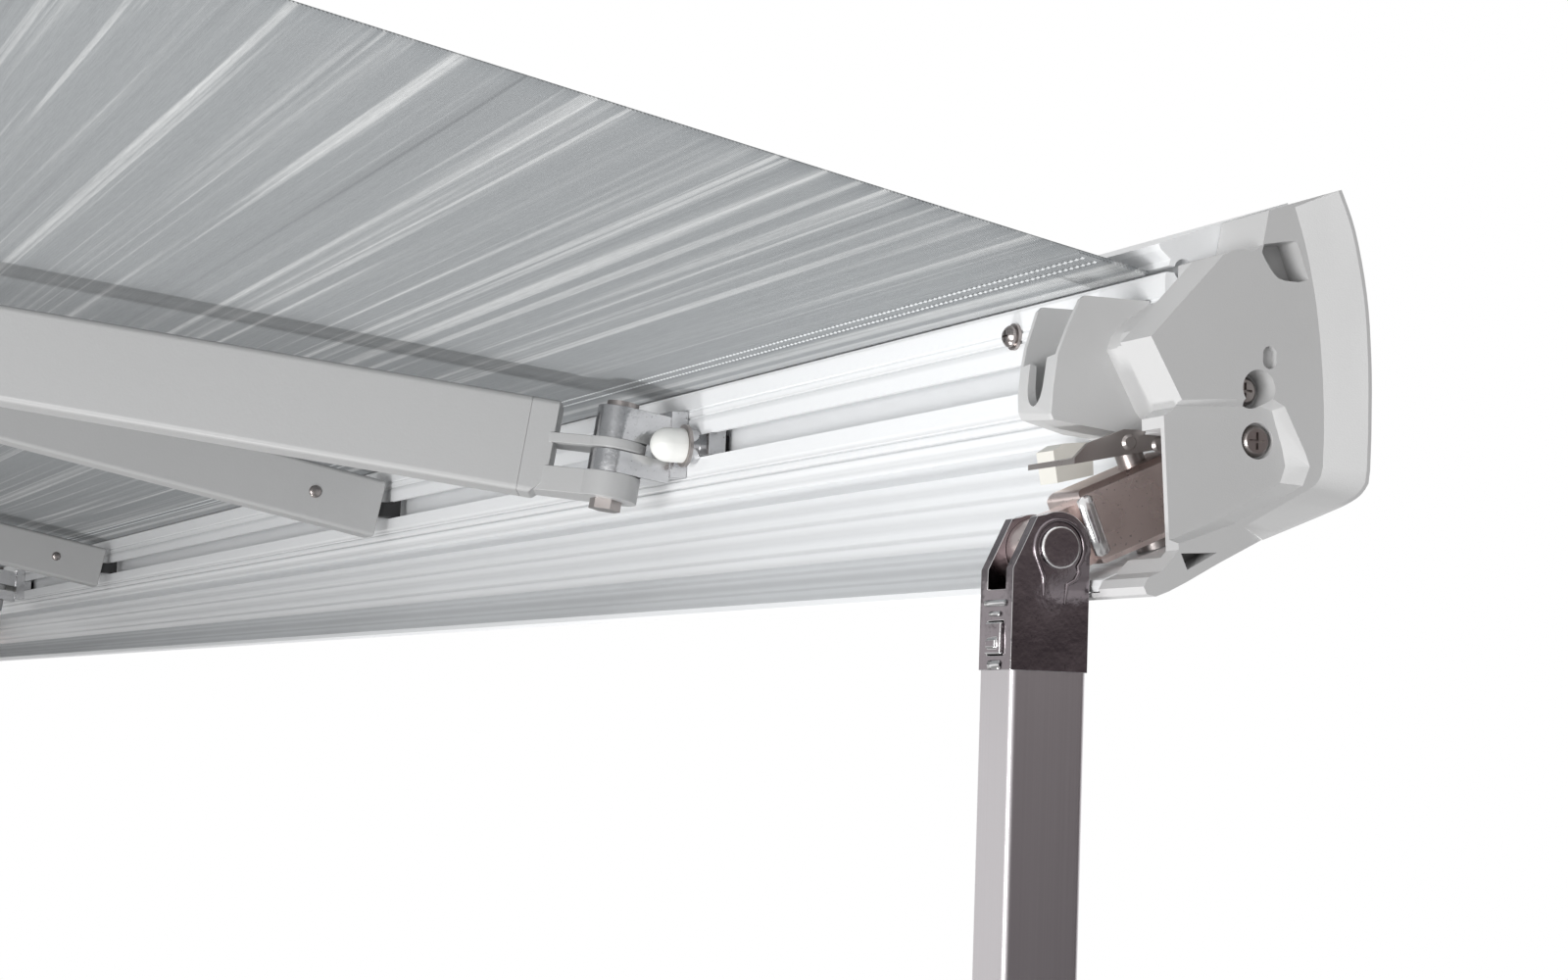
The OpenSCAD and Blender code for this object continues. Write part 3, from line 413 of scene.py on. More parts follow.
def joined(shapes):
    """Points and faces of several shapes as those of one."""
    points, faces = [], []
    for more_points, more_faces in shapes:
        base = len(points)
        points += more_points
        faces += [tuple(base + i for i in face) for face in more_faces]
    return points, faces


def settle(piece, *modifiers):
    """Adds modifiers by (kind, settings), and applies them all."""
    for kind, settings in modifiers:
        modifier = piece.modifiers.new(kind.title(), kind)
        for name, value in settings.items():
            setattr(modifier, name, value)
    graph = bpy.context.evaluated_depsgraph_get()
    mesh = bpy.data.meshes.new_from_object(piece.evaluated_get(graph))
    piece.modifiers.clear()
    piece.data = mesh
    return piece


def softened(node, radius, finish, segments=2, angle=28.0, edge=None):
    """A copy of a CAD node whose hard edges are rounded, which stands for the node.

    edge is the finish of the rounded edges; where it is brighter than the piece, it paints highlights
    along them.
    """
    source = frame["nodes"][node]
    mesh = source.data.copy()
    work = bmesh.new()
    work.from_mesh(mesh)
    bmesh.ops.remove_doubles(work, verts=work.verts, dist=0.00001)
    bmesh.ops.dissolve_limit(work, angle_limit=math.radians(1.0), verts=work.verts, edges=work.edges)
    work.to_mesh(mesh)
    work.free()
    piece = bpy.data.objects.new("soft_" + node, mesh)
    bpy.context.scene.collection.objects.link(piece)
    bevel = {
        "width": radius,
        "segments": segments,
        "limit_method": "ANGLE",
        "angle_limit": math.radians(angle),
        "harden_normals": True,
        "miter_outer": "MITER_ARC",
        "use_clamp_overlap": True,
    }
    mesh.polygons.foreach_set("use_smooth", [True] * len(mesh.polygons))
    mesh.materials.clear()
    mesh.materials.append(finish)
    if edge:
        mesh.materials.append(edge)
        bevel["material"] = 1
    settle(piece, ("BEVEL", bevel), ("WEIGHTED_NORMAL", {"keep_sharp": True, "weight": 60}))
    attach(piece, source["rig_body"])
    slot_of(node)
    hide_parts(node)
    return piece


def slot_of(node):
    for part in frame["record"]["subparts"]:
        if part["node"] == node:
            return part["material_slot"]
    raise ValueError("no subpart is named " + node)


def nodes_in(*slots):
    return [n for n in frame["nodes"] if slot_of(n) in slots]


def dress(node, finish):
    """Gives a CAD node its finish."""
    mesh = frame["nodes"][node].data
    mesh.materials.clear()
    mesh.materials.append(finish)


class ClothSettings(bpy.types.PropertyGroup):
    ground: FloatVectorProperty(
        name="Ground", description="Colour of the cloth between its stripes", subtype="COLOR",
        default=(0.29, 0.305, 0.315), min=0, max=1)
    light_stripe: FloatVectorProperty(
        name="Light stripe", description="Colour of the thin light stripes", subtype="COLOR",
        default=(0.64, 0.65, 0.65), min=0, max=1)
    dark_stripe: FloatVectorProperty(
        name="Dark stripe", description="Colour of the thin dark stripes", subtype="COLOR",
        default=(0.17, 0.18, 0.19), min=0, max=1)
    stripe_repeat: FloatProperty(
        name="Stripe repeat", description="Run of cloth after which the stripes repeat",
        subtype="DISTANCE", unit="LENGTH", default=0.42, min=0.05)
    weave_pitch: FloatProperty(
        name="Weave pitch", description="Distance from one thread to the next but one",
        subtype="DISTANCE", unit="LENGTH", default=0.0014, min=0.0002)
    sag: FloatProperty(
        name="Sag", description="Drop of the stretched cloth in the middle of its span",
        subtype="DISTANCE", unit="LENGTH", default=0.0084, min=0, max=0.02)
    hem: FloatProperty(
        name="Hem", description="Width of the folded hem along the lead rail",
        subtype="DISTANCE", unit="LENGTH", default=0.028, min=0.01)


class MetalSettings(bpy.types.PropertyGroup):
    white_paint: FloatVectorProperty(
        name="White paint", description="Powder coat of the cassette and the lead rail",
        subtype="COLOR", default=(0.90, 0.91, 0.92), min=0, max=1)
    grey_paint: FloatVectorProperty(
        name="Grey paint", description="Powder coat of the arms and rafters",
        subtype="COLOR", default=(0.43, 0.43, 0.43), min=0, max=1)
    anodised: FloatVectorProperty(
        name="Anodised", description="Colour of the leg tubes", subtype="COLOR",
        default=(0.56, 0.535, 0.55), min=0, max=1)
    dark_chrome: FloatVectorProperty(
        name="Dark chrome", description="Colour of the leg's castings", subtype="COLOR",
        default=(0.25, 0.22, 0.235), min=0, max=1)
    swivel: FloatVectorProperty(
        name="Swivel casting", description="Colour of the swivel blocks", subtype="COLOR",
        default=(0.86, 0.74, 0.71), min=0, max=1)
    # Painted highlight: a bright chrome for the castings' rounded edges, where highlights fall.
    highlight_chrome: FloatVectorProperty(
        name="Highlight chrome", description="Bright edges of the castings", subtype="COLOR",
        default=(0.78, 0.77, 0.78), min=0, max=1)
    casting: FloatVectorProperty(
        name="Casting", description="Colour of the wrist brackets", subtype="COLOR",
        default=(0.55, 0.55, 0.56), min=0, max=1)
    steel: FloatVectorProperty(
        name="Steel", description="Colour of pins, screws and plates", subtype="COLOR",
        default=(0.36, 0.33, 0.32), min=0, max=1)


class MouldingSettings(bpy.types.PropertyGroup):
    cap: FloatVectorProperty(
        name="End caps", description="Colour of the end caps", subtype="COLOR",
        default=(0.60, 0.60, 0.60), min=0, max=1)
    dark: FloatVectorProperty(
        name="Dark parts", description="Colour of the gearbox, bushes and rafter plugs",
        subtype="COLOR", default=(0.02, 0.02, 0.021), min=0, max=1)
    cream: FloatVectorProperty(
        name="Clips", description="Colour of the leg clips", subtype="COLOR",
        default=(0.76, 0.745, 0.69), min=0, max=1)
    edge_radius: FloatProperty(
        name="Edge radius", description="Rounding of the mouldings' edges", subtype="DISTANCE",
        unit="LENGTH", default=0.0009, min=0.0001, max=0.003)


class StageSettings(bpy.types.PropertyGroup):
    lens: FloatProperty(
        name="Lens", description="Focal length of the camera", subtype="DISTANCE_CAMERA",
        default=67.5, min=10)
    floor: FloatVectorProperty(
        name="Floor", description="Colour of the floor", subtype="COLOR",
        default=(0.8, 0.8, 0.8), min=0, max=1)
    key: FloatProperty(name="Key", description="Power of the key lamp", unit="POWER", default=13, min=0)
    fill: FloatProperty(
        name="Fill", description="Power of the front and top lamps", unit="POWER", default=34, min=0)
    side: FloatProperty(
        name="Side", description="Power of the side lamp", unit="POWER", default=34, min=0)
    sky: FloatProperty(name="Sky", description="Strength of the even light", default=0.37, min=0)


# Castings and bent parts with round edges: the radius of the rounding, in metres.
ROUNDED = {
    "knuckle": 0.0016, "swivel_blocks": 0.002, "latch": 0.0006, "leg_plates": 0.0004,
    "wrist_bracket": 0.0012, "wrist_casting": 0.0012, "elbow_fork": 0.0012,
    "elbow_knuckle": 0.0012, "shoulder_casting": 0.0012, "shoulder_bracket": 0.0012,
    "knuckle_pins": 0.0008, "rafter_tubes": 0.0006, "rafter_ends": 0.0008,
}

# Grooves on the rail's wall side and in its trough: height from the hem line, half width and
# painted shade, how much each groove's colour is darkened where shade falls in it.
RAIL_RIBS = (
    (-0.0110, 0.0030, 0.24), (-0.0400, 0.0024, 0.22), (-0.0450, 0.0012, 0.34), (-0.0500, 0.0030, 0.20),
    (-0.0590, 0.0034, 0.26), (-0.0660, 0.0016, 0.30), (-0.0720, 0.0040, 0.22), (-0.0790, 0.0016, 0.34),
    (-0.0850, 0.0036, 0.26), (-0.0905, 0.0018, 0.34), (-0.0960, 0.0034, 0.40), (-0.1010, 0.0012, 0.36),
    (-0.1055, 0.0020, 0.22),
)


class AWNING_OT_paint(bpy.types.Operator):
    """Paints the profiles and arms, and plates the small steel parts"""

    bl_idname = "awning.paint"
    bl_label = "Paint and plate"

    def execute(self, context):
        metal = context.scene.awning_metal
        finishes = {
            "white_aluminium": painted_metal("White paint", metal.white_paint, drawn=True),
            "grey_aluminium": painted_metal("Grey paint", metal.grey_paint, 0.42),
            "arm_casting": painted_metal("Casting paint", metal.grey_paint, 0.45),
            "die_casting": cast_metal("Bright casting", metal.casting, 0.16, 0.35),
            "dark_chrome": cast_metal("Dark chrome", metal.dark_chrome, 0.15, 0.3),
            "swivel_casting": cast_metal("Swivel casting", metal.swivel, 0.3, 0.1),
            "steel": plated_steel("Zinc plate", metal.steel),
            "anodised": drawn_aluminium("Anodised tube", metal.anodised),
            "rubber": black_rubber("Black rubber"),
        }
        # The rounded edges' finishes: the highlight chrome on the dark chrome castings is a painted
        # highlight along their edges; the bright casting's edges only gloss more.
        edges = {
            "dark_chrome": cast_metal("Highlight chrome", metal.highlight_chrome, 0.16, 0.3),
            "die_casting": cast_metal("Rubbed casting", metal.casting, 0.12, 0.3),
            "swivel_casting": cast_metal("Rubbed swivel", metal.highlight_chrome, 0.16, 0.3),
        }
        for slot, finish in finishes.items():
            for node in nodes_in(slot):
                radius = ROUNDED.get(node.removesuffix("_left").removesuffix("_right"))
                if radius:
                    piece = softened(node, radius, finish, edge=edges.get(slot))
                    if node == "rafter_tubes":
                        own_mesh(piece)
                else:
                    dress(node, finish)
        ribbed = painted_metal("Ribbed rail paint", metal.white_paint, drawn=True, ribs=RAIL_RIBS)
        dress("rail_profile", ribbed)
        return {"FINISHED"}


# A ridge's cross-section, across and up, in shares of its half width and height, and the share
# that is left of it at both ends.
RIDGE_SECTION = ((-1.0, -0.3), (-0.8, 0.5), (-0.35, 0.92), (0.35, 0.92), (0.8, 0.5), (1.0, -0.3))
RIDGE_END = 0.45


def swept_ridge(line, place, half_width, height):
    """Points and faces of a low round ridge along a line of (out, up) points.

    place turns (out, up, lift) into a point of the frame.
    """
    points, faces = [], []
    for i, here in enumerate(line):
        before, after = line[max(i - 1, 0)], line[min(i + 1, len(line) - 1)]
        along = (Vector(after) - Vector(before)).normalized()
        side = Vector((-along.y, along.x))
        taper = RIDGE_END if i in (0, len(line) - 1) else 1.0
        for across, lift in RIDGE_SECTION:
            at = Vector(here) + side * across * half_width * taper
            points.append(place(at.x, at.y, lift * height * taper))
    size = len(RIDGE_SECTION)
    for i in range(len(line) - 1):
        for k in range(size - 1):
            a = i * size + k
            faces.append((a, a + 1, a + size + 1, a + size))
    faces += [tuple(range(size)), tuple(reversed(range(len(points) - size, len(points))))]
    return points, faces


def arc_points(radius, start, stop, count):
    """Points on an arc, by angles in degrees."""
    angles = [math.radians(start + (stop - start) * i / count) for i in range(count + 1)]
    return [(radius * math.cos(a), radius * math.sin(a)) for a in angles]


# The keyhole ridge round the knuckle's pin, in metres out and up from the pin.
KEYHOLE = (
    [(-0.0058, -0.017), (-0.0058, -0.011), (-0.0066, -0.009), (-0.0085, -0.0045)]
    + arc_points(0.0096, 200, -40, 28)
    + [(0.0080, -0.0082), (0.0064, -0.0112), (0.0034, -0.0128), (0.0025, -0.0195)]
)
KEYHOLE_RIDGE = 0.0009
# The knuckle pin's place, the knuckle's two wide faces past the rail's end, and its wall side.
PIN_OUT, PIN_UP = -0.0367, -0.097
KNUCKLE_FACES = (-0.005, -0.029)
LATCH_OUT = -0.0545
# The lips by the latch: height from the pin, half length and half width.
LATCH_LIPS = ((-0.0198, 0.0080, 0.0013), (-0.0235, 0.0036, 0.0010), (-0.0412, 0.0042, 0.0018))
LATCH_LIP_HEIGHT = 0.0011
# The swivel block's wall-side edge, from its top to its foot, out and up from the hem line.
BLOCK_EDGE = (Vector((-0.0276, -0.0786)), Vector((-0.0188, -0.0986)))


class AWNING_OT_casting_details(bpy.types.Operator):
    """Adds the ridges, lips and bright edges of the leg castings"""

    bl_idname = "awning.casting_details"
    bl_label = "Casting details"

    def execute(self, context):
        metal = context.scene.awning_metal
        # Ridge chrome is the highlight chrome: on the lips and the swivel block's edge it paints
        # highlights, and on the clip it is the clip's own silver.
        chrome = cast_metal("Ridge chrome", metal.highlight_chrome, 0.18, 0.3)
        dark = cast_metal("Ridge casting", metal.dark_chrome, 0.2, 0.35)
        for end, side in ENDS.items():
            self.add_keyhole(end, side, dark)
            self.add_latch_lips(end, side, chrome)
            self.add_block_edge(end, side, chrome)
        return {"FINISHED"}

    def add_block_edge(self, end, side, finish):
        """The bright round edge down the wall side of the swivel block."""
        top, foot = BLOCK_EDGE
        line = [tuple(top.lerp(foot, t)) for t in (0, 0.04, 0.25, 0.5, 0.75, 0.96, 1)]

        def place(out, up, lift):
            return rail_point(side, KNUCKLE_FACES[0] + lift, out, up)

        ridge = swept_ridge(line, place, half_width=0.0032, height=0.0017)
        mesh_piece("swivel_edge_" + end, *ridge, finish, "lead_rail", "swivel_casting")

    def add_keyhole(self, end, side, finish):
        """The raised line round the pin, on both wide faces."""
        ridges = []
        for past, outward in zip(KNUCKLE_FACES, (1, -1)):
            def place(out, up, lift):
                return rail_point(side, past + outward * lift, PIN_OUT + out, PIN_UP + up)

            ridges.append(swept_ridge(KEYHOLE, place, KEYHOLE_RIDGE, KEYHOLE_RIDGE))
        mesh_piece("keyhole_ridge_" + end, *joined(ridges), finish, "leg_" + end, "dark_chrome")

    def add_latch_lips(self, end, side, finish):
        """The lip over the latch and the bright clip under it, on the wall side."""
        lips = []
        middle = sum(KNUCKLE_FACES) / 2
        for up, half, half_width in LATCH_LIPS:
            line = [(half * share, 0) for share in (-1, -0.9, 0, 0.9, 1)]

            def place(along, rise, lift):
                return rail_point(side, middle + along, LATCH_OUT - lift, PIN_UP + up + rise)

            lips.append(swept_ridge(line, place, half_width, LATCH_LIP_HEIGHT))
        mesh_piece("latch_lips_" + end, *joined(lips), finish, "leg_" + end, "dark_chrome")


# The black strips in the rail's groove: where each begins and ends past the rail's end, their
# lower and upper edge from the hem line, and how deep the groove is.
STRIP_SPANS = ((-0.4700, -0.4635), (-0.4400, -0.4325))
STRIP_LOW, STRIP_HIGH = -0.0305, -0.0206
GROOVE_DEPTH = 0.0118


def groove_strip(side, first, last):
    """A strip with a crowned face, from the groove's floor to just under its lips."""
    middle = (STRIP_LOW + STRIP_HIGH) / 2
    slant, edge, sunk, sunk_end = 0.0012, 0.0006, 0.0003, 0.0009
    points, faces = [], []
    for past in (first, first + slant, last - slant, last):
        face = sunk_end if past in (first, last) else sunk
        section = ((GROOVE_DEPTH, STRIP_LOW), (face + edge, STRIP_LOW), (face, middle),
                   (face + edge, STRIP_HIGH), (GROOVE_DEPTH, STRIP_HIGH))
        points += [rail_point(side, past, out, up) for out, up in section]
    size = len(section)
    for i in range(3):
        for k in range(size):
            a, b = i * size + k, i * size + (k + 1) % size
            faces.append((a, b, b + size, a + size))
    faces += [tuple(range(size)), tuple(reversed(range(3 * size, 4 * size)))]
    return points, faces


class AWNING_OT_groove_strips(bpy.types.Operator):
    """Sets the black strips beside the bracket feet in the rail's groove"""

    bl_idname = "awning.groove_strips"
    bl_label = "Groove strips"

    def execute(self, context):
        rubber = black_rubber("Strip rubber", (0.02, 0.02, 0.021))
        for end, side in ENDS.items():
            strips = joined([groove_strip(side, first, last) for first, last in STRIP_SPANS])
            mesh_piece("groove_strips_" + end, *strips, rubber, "lead_rail", "rubber", smooth=False)
        return {"FINISHED"}


# A rivet head's profile: radius and height. Where the rafter tubes' sides are, how far their
# middle line lies from the corners of their box, and how far each rivet is from a tube's end.
RIVET_PROFILE = ((0.0042, -0.0002), (0.0041, 0.0006), (0.0032, 0.0012), (0.0018, 0.0016))
RIVET_TOP = 0.0017
RAFTER_WIDTH = 0.024
RAFTER_CORNER = Vector((0, 0.0033, 0.0187))
RIVET_INSET = 0.045


def rivet_head(centre, side):
    """A domed rivet head on the side of a tube."""
    count = 20
    points, faces = [], []
    for radius, lift in RIVET_PROFILE:
        for i in range(count):
            angle = 2 * math.pi * i / count
            turn = Vector((side * lift, radius * math.cos(angle), radius * math.sin(angle)))
            points.append(centre + turn)
    points.append(centre + Vector((side * RIVET_TOP, 0, 0)))
    for ring in range(len(RIVET_PROFILE) - 1):
        for i in range(count):
            a, b = ring * count + i, ring * count + (i + 1) % count
            faces.append((a, b, b + count, a + count))
    last = (len(RIVET_PROFILE) - 1) * count
    faces.extend((last + i, last + (i + 1) % count, len(points) - 1) for i in range(count))
    return points, faces


class AWNING_OT_rafter_rivets(bpy.types.Operator):
    """Rivets the end plugs into the rafter tubes"""

    bl_idname = "awning.rafter_rivets"
    bl_label = "Rafter rivets"

    def execute(self, context):
        steel = plated_steel("Rivet plate", context.scene.awning_metal.steel)
        front = Vector((0, RAFTER_LOW.y, RAFTER_LOW.z)) + RAFTER_CORNER
        rear = Vector((0, RAFTER_HIGH.y, RAFTER_HIGH.z)) - RAFTER_CORNER
        along = (rear - front).normalized() * RIVET_INSET
        sides = ((RAFTER_LOW.x, -1), (RAFTER_LOW.x + RAFTER_WIDTH, 1), (RAFTER_HIGH.x, 1),
                 (RAFTER_HIGH.x - RAFTER_WIDTH, -1))
        heads = [rivet_head(Vector((x, centre.y, centre.z)), side)
                 for centre in (front + along, rear - along) for x, side in sides]
        rivets = mesh_piece("rafter_rivets", *joined(heads), steel, "case", "steel")
        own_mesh(rivets)
        return {"FINISHED"}


class AWNING_OT_mouldings(bpy.types.Operator):
    """Gives the mouldings their plastic"""

    bl_idname = "awning.mouldings"
    bl_label = "Mouldings"

    def execute(self, context):
        look = context.scene.awning_moulding
        finishes = {
            "cap_moulding": moulded_plastic("Cap moulding", look.cap),
            "dark_moulding": moulded_plastic("Dark moulding", look.dark, 0.45),
            "cream_moulding": moulded_plastic("Cream moulding", look.cream),
            "bumper_moulding": moulded_plastic("Bumper", (0.85, 0.85, 0.82), 0.4),
        }
        for slot, finish in finishes.items():
            for node in nodes_in(slot):
                if node.startswith("end_cap"):
                    softened(node, look.edge_radius, finish, angle=24.0)
                elif node == "rafter_ends":
                    piece = softened(node, ROUNDED[node], finish)
                    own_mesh(piece)
                else:
                    dress(node, finish)
        return {"FINISHED"}


# Each rafter's distance from the middle, and how far to its sides it holds the cloth up.
RAFTER_X = 0.5
RAFTER_REACH = 0.09
# How far the cloth's free edges draw in, halfway along.
EDGE_INSET = 0.004


def run_out(finish):
    """Distance along the cloth from the hem, towards the wall."""
    return (finish.axis("Y") - HEM_Y) / math.cos(CLOTH_SLOPE)


class AWNING_OT_canopy(bpy.types.Operator):
    """Stretches the striped cloth from the roll to the lead rail"""

    bl_idname = "awning.canopy"
    bl_label = "Canopy"

    def execute(self, context):
        look = context.scene.awning_cloth
        finish = striped_cloth("Striped cloth", look, run_out)
        across, along = 120, 90
        points = []
        for j in range(along + 1):
            t = j / along
            for i in range(across + 1):
                u = i / across * 2 - 1
                rafter = math.exp(-((abs(u * HALF_CLOTH) - RAFTER_X) / RAFTER_REACH) ** 2)
                drop = look.sag * math.sin(math.pi * t) ** 0.8 * (1 - 0.6 * rafter)
                drop *= 1 - 0.5 * abs(u) ** 6
                inset = EDGE_INSET * math.sin(math.pi * t) * u ** 5
                y = CLOTH_LOW.y + (CLOTH_HIGH.y - CLOTH_LOW.y) * t
                z = CLOTH_LOW.z + (CLOTH_HIGH.z - CLOTH_LOW.z) * t
                points.append((u * HALF_CLOTH - inset, y, z - drop))
        faces = []
        for j in range(along):
            for i in range(across):
                a = j * (across + 1) + i
                faces.append((a, a + 1, a + across + 2, a + across + 1))
        canopy = mesh_piece("canopy_cloth", points, faces, finish, "case", "canopy_cloth")
        settle(canopy, ("SOLIDIFY", {"thickness": 0.0007, "offset": 0}))
        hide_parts("canopy")
        hem = self.add_hem(look, finish)
        stitches = self.add_stitches(look)
        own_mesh(canopy)
        return {"FINISHED"}

    def hem_place(self, x, run, below):
        """A point under the hem: across, along the cloth from its low edge, and below it."""
        return Vector((x, CLOTH_LOW.y, CLOTH_LOW.z)) + ALONG_CLOTH * run + BELOW_CLOTH * below

    def add_hem(self, look, finish):
        """The cloth turned back under itself along the rail, with a welt at its free edge."""
        start, middle, radius, margin = 0.0008, 0.0007, 0.0004, 0.0006
        profile = [(start, 0.0002), (start, 0.0012)]
        for step in range(5):
            angle = math.pi * step / 4
            profile.append((look.hem + radius * math.sin(angle), middle + radius * math.cos(angle)))
        count = 60
        points = []
        for i in range(count + 1):
            x = (i / count * 2 - 1) * (HALF_CLOTH - margin)
            points += [self.hem_place(x, run, below) for run, below in profile]
        size = len(profile)
        faces = [(a, a + 1, a + size + 1, a + size)
                 for i in range(count) for a in range(i * size, i * size + size - 1)]
        faces += [tuple(range(size)), tuple(reversed(range(count * size, (count + 1) * size)))]
        return mesh_piece("canopy_hem", points, faces, finish, "lead_rail", "canopy_cloth", smooth=False)

    def add_stitches(self, look):
        """Two rows of lock stitch through the hem."""
        thread = Finish("Sewing thread", roughness=0.6)
        twist = thread.noise(1.0, place=thread.scaled(2600, 900, 900))
        thread.set(base_color=thread.tint((0.74, 0.76, 0.77), twist, 0.25),
                   normal=thread.bump(twist, 0.0001))
        pitch, length, half_width, turn = 0.0042, 0.0029, 0.0006, 0.0007
        inside, outside = 0.0008, 0.0015
        arch = ((0, inside), (turn, outside), (length - turn, outside), (length, inside))
        margin = 0.004
        count = int(2 * (HALF_CLOTH - margin) / pitch)
        points, faces = [], []
        for run in (look.hem - 0.0035, look.hem - 0.0085):
            for i in range(count):
                x = -HALF_CLOTH + margin + i * pitch
                base = len(points)
                for dx, deep in arch:
                    points.append(self.hem_place(x + dx, run - half_width, deep))
                    points.append(self.hem_place(x + dx, run + half_width, deep))
                faces += [(base + k, base + k + 1, base + k + 3, base + k + 2) for k in (0, 2, 4)]
        return mesh_piece("hem_stitches", points, faces, thread.material, "lead_rail", "canopy_cloth")


class AWNING_OT_rolled_cloth(bpy.types.Operator):
    """Winds the last turns of cloth on the roller"""

    bl_idname = "awning.rolled_cloth"
    bl_label = "Rolled cloth"

    def execute(self, context):
        finish = striped_cloth("Wound cloth", context.scene.awning_cloth, lambda f: f.axis("X"))
        turns, steps, growth = 2.5, 96, 0.0018
        points, faces = [], []
        count = int(turns * steps)
        for i in range(count + 1):
            angle = 2 * math.pi * i / steps
            radius = ROLL_R - growth + growth * i / count
            for x in (ROLL_LOW.x, ROLL_HIGH.x):
                points.append((x, ROLL_Y + radius * math.sin(angle), ROLL_Z + radius * math.cos(angle)))
        for i in range(count):
            faces.append((2 * i, 2 * i + 1, 2 * i + 3, 2 * i + 2))
        cloth = mesh_piece("rolled_cloth", points, faces, finish, "roller", "canopy_cloth")
        settle(cloth, ("SOLIDIFY", {"thickness": 0.0005, "offset": 0}))
        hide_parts("wound_cloth")
        return {"FINISHED"}


# Where the camera stands from the near end of the hem line: past the rail's end, out and up.
# Then the direction in which it looks, and the one that it holds upwards.
CAMERA_PLACE = (0.8911, -0.5246, -0.1649)
CAMERA_FORWARD = (0.916, -0.392, 0.083)
CAMERA_UP = (-0.063, 0.064, 0.996)


def area_lamp(name, place, target, size, power):
    data = bpy.data.lights.new(name, "AREA")
    data.shape = "RECTANGLE"
    data.size, data.size_y = size
    data.energy = power
    lamp = bpy.data.objects.new(name, data)
    bpy.context.scene.collection.objects.link(lamp)
    lamp.location = place
    lamp.rotation_euler = (Vector(target) - Vector(place)).to_track_quat("-Z", "Y").to_euler()
    return lamp


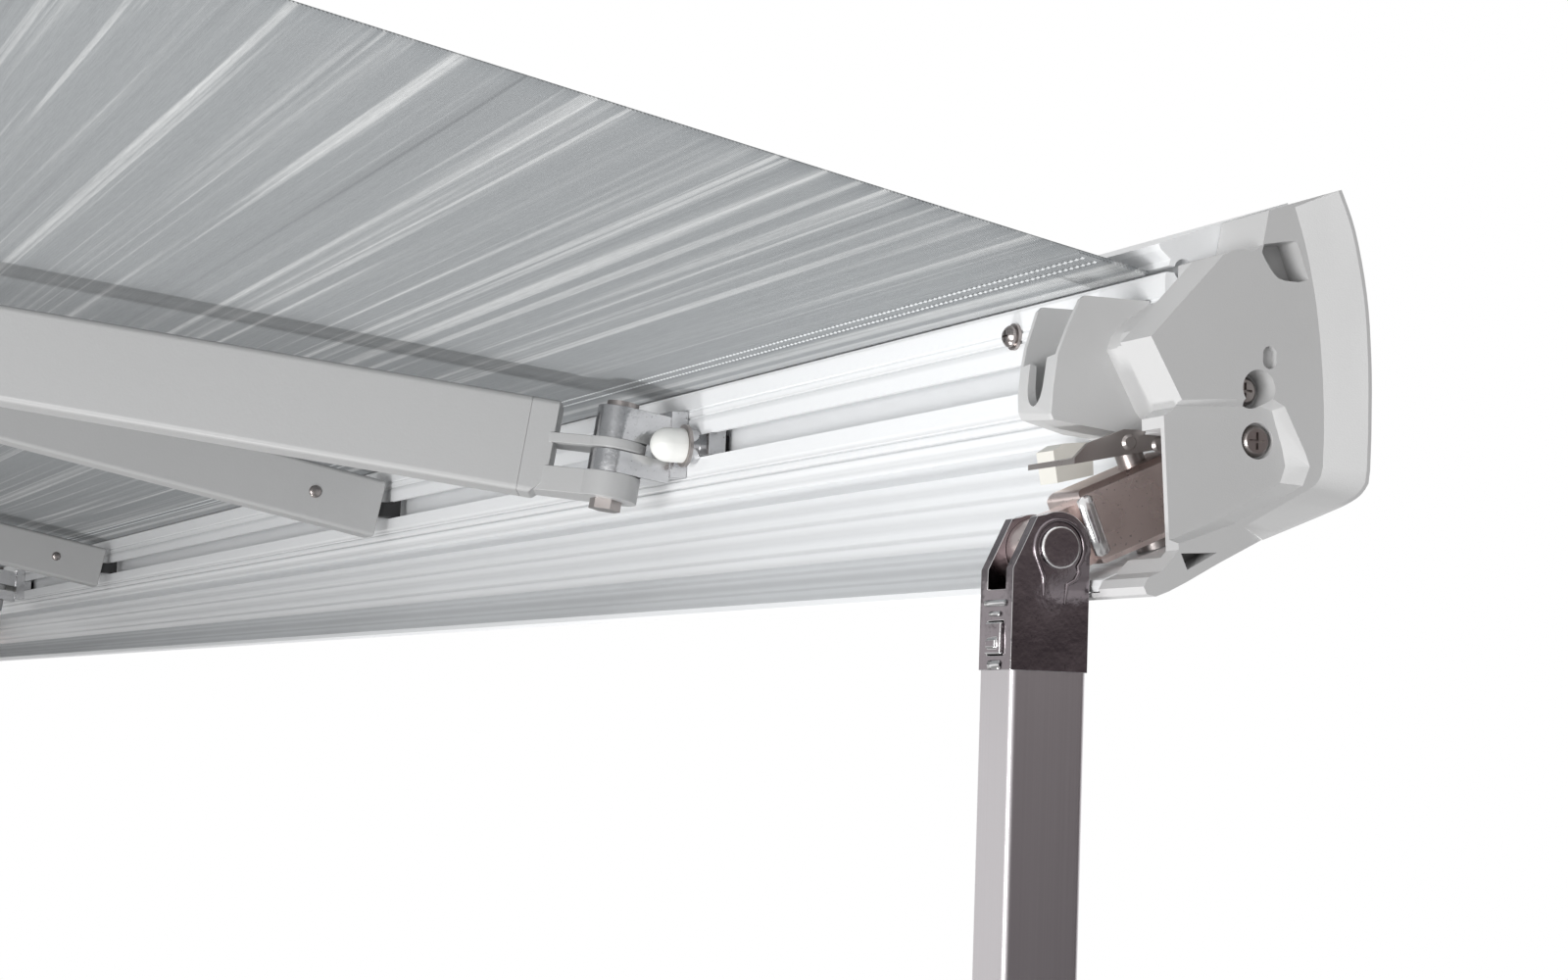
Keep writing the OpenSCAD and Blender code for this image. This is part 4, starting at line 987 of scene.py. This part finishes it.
class AWNING_OT_stage(bpy.types.Operator):
    """Sets up the camera, the floor, the lamps and the white surroundings"""

    bl_idname = "awning.stage"
    bl_label = "Stage"

    def execute(self, context):
        look = context.scene.awning_stage
        context.scene.view_settings.view_transform = "Standard"
        self.add_camera(context, look)
        self.add_floor(look)
        self.add_reflection_card()
        self.add_sky(look)
        near = rail_point(ENDS["left"], 0, 0, -0.05)
        # The key lamp stands under the arm and throws the arm's shadow up on the cloth
        under = near + Vector((0.2, 0.9, -1.5))
        area_lamp("Key", under, near + Vector((0.2, 0.3, 0)), (0.25, 0.25), look.key)
        area_lamp("Side fill", near + Vector((-1.0, 1.8, -0.5)), near, (1.0, 1.0), look.side)
        area_lamp("Front fill", (0.5, -5.0, 1.6), (0, -1.2, -0.5), (4.0, 3.0), look.fill)
        area_lamp("Top fill", (0, -1.0, 4.0), (0, -1.0, 0), (5.0, 4.0), look.fill)
        return {"FINISHED"}

    def add_camera(self, context, look):
        data = bpy.data.cameras.new("Camera")
        data.lens = look.lens
        data.sensor_width = 36
        data.clip_start = 0.05
        data.clip_end = 100
        camera = bpy.data.objects.new("Camera", data)
        context.scene.collection.objects.link(camera)
        forward = Vector(CAMERA_FORWARD).normalized()
        right = forward.cross(Vector(CAMERA_UP)).normalized()
        up = right.cross(forward)
        turn = Matrix((right, up, -forward)).transposed().to_4x4()
        camera.matrix_world = Matrix.Translation(rail_point(ENDS["left"], *CAMERA_PLACE)) @ turn
        context.scene.camera = camera

    def add_floor(self, look):
        level = CAD_BOX[0][2]
        half, front, rear = 7.0, -8.0, 6.0
        finish = Finish("Floor", roughness=0.9)
        cloud = finish.noise(1.5, detail=2)
        finish.set(base_color=finish.tint(look.floor, cloud, 0.01))
        points = [(-half, front, level), (half, front, level), (half, rear, level), (-half, rear, level)]
        floor = mesh_piece("Floor", points, [(0, 1, 2, 3)], finish.material, None)
        floor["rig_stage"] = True

    def add_reflection_card(self):
        """A card beside the near end that only glossy rays see: a painted reflection, dark mauve below
        and lighter above, that gives chrome its depth.
        """
        finish = Finish("Reflection card", roughness=0.9)
        # Painted reflection: dark below the hem line and lighter above it, as the chrome shows it.
        height = (finish.axis("Z") - HEM_Z).smooth(-0.3, 0.3)
        finish.set(base_color=finish.mix(height, (0.09, 0.075, 0.085), (0.5, 0.45, 0.44)))
        near = rail_point(ENDS["left"], 0, 0, -0.1)
        rear, front = Vector((-1.6, 0.2, 0)), Vector((-0.3, -1.7, 0))
        foot, top = Vector((0, 0, -1.2)), Vector((0, 0, 0.9))
        points = [near + corner for corner in (rear + foot, front + foot, front + top, rear + top)]
        reflection_card = mesh_piece("Reflection card", points, [(0, 1, 2, 3)], finish.material, None)
        reflection_card.visible_camera = False
        reflection_card.visible_diffuse = False
        reflection_card.visible_shadow = False
        reflection_card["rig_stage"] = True

    def add_sky(self, look):
        world = bpy.data.worlds.new("Sky")
        world.use_nodes = True
        tree = world.node_tree
        background = tree.nodes["Background"]
        path = tree.nodes.new("ShaderNodeLightPath")
        seen = None
        for ray in ("Is Camera Ray", "Is Glossy Ray", "Is Transmission Ray"):
            if seen is None:
                seen = path.outputs[ray]
                continue
            either = tree.nodes.new("ShaderNodeMath")
            either.operation = "MAXIMUM"
            tree.links.new(seen, either.inputs[0])
            tree.links.new(path.outputs[ray], either.inputs[1])
            seen = either.outputs[0]
        strength = tree.nodes.new("ShaderNodeMapRange")
        tree.links.new(seen, strength.inputs[0])
        strength.inputs["To Min"].default_value = look.sky
        strength.inputs["To Max"].default_value = 1.0
        tree.links.new(strength.outputs[0], background.inputs["Strength"])
        background.inputs["Color"].default_value = (1, 1, 1, 1)
        bpy.context.scene.world = world


class AWNING_PT_panel(bpy.types.Panel):
    bl_label = "Roll-out awning"
    bl_idname = "AWNING_PT_panel"
    bl_space_type = "VIEW_3D"
    bl_region_type = "UI"
    bl_category = "Awning"

    def draw(self, context):
        for group, operators in PANEL_GROUPS:
            settings = getattr(context.scene, group)
            box = self.layout.box()
            for name in settings.bl_rna.properties.keys():
                if name not in ("rna_type", "name"):
                    box.prop(settings, name)
            for operator in operators:
                box.operator(operator.bl_idname)


PANEL_GROUPS = (
    ("awning_metal", (AWNING_OT_paint, AWNING_OT_casting_details, AWNING_OT_groove_strips,
                      AWNING_OT_rafter_rivets)),
    ("awning_moulding", (AWNING_OT_mouldings,)),
    ("awning_cloth", (AWNING_OT_canopy, AWNING_OT_rolled_cloth)),
    ("awning_stage", (AWNING_OT_stage,)),
)
SETTINGS = {
    "awning_metal": MetalSettings,
    "awning_moulding": MouldingSettings,
    "awning_cloth": ClothSettings,
    "awning_stage": StageSettings,
}
OPERATORS = tuple(operator for _, group in PANEL_GROUPS for operator in group)


def register():
    for group in (*SETTINGS.values(), *OPERATORS, AWNING_PT_panel):
        bpy.utils.register_class(group)
    for name, group in SETTINGS.items():
        setattr(bpy.types.Scene, name, PointerProperty(type=group))


def unregister():
    for name in SETTINGS:
        delattr(bpy.types.Scene, name)
    for group in reversed((*SETTINGS.values(), *OPERATORS, AWNING_PT_panel)):
        bpy.utils.unregister_class(group)


def main():
    register()
    for operator in OPERATORS:
        family, name = operator.bl_idname.split(".")
        getattr(getattr(bpy.ops, family), name)()
    boxes = {"cad": CAD_BOX, "visual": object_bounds()}
    sizes = {name: [list(corner) for corner in box] for name, box in boxes.items()}


if __name__ == "__main__":
    main()
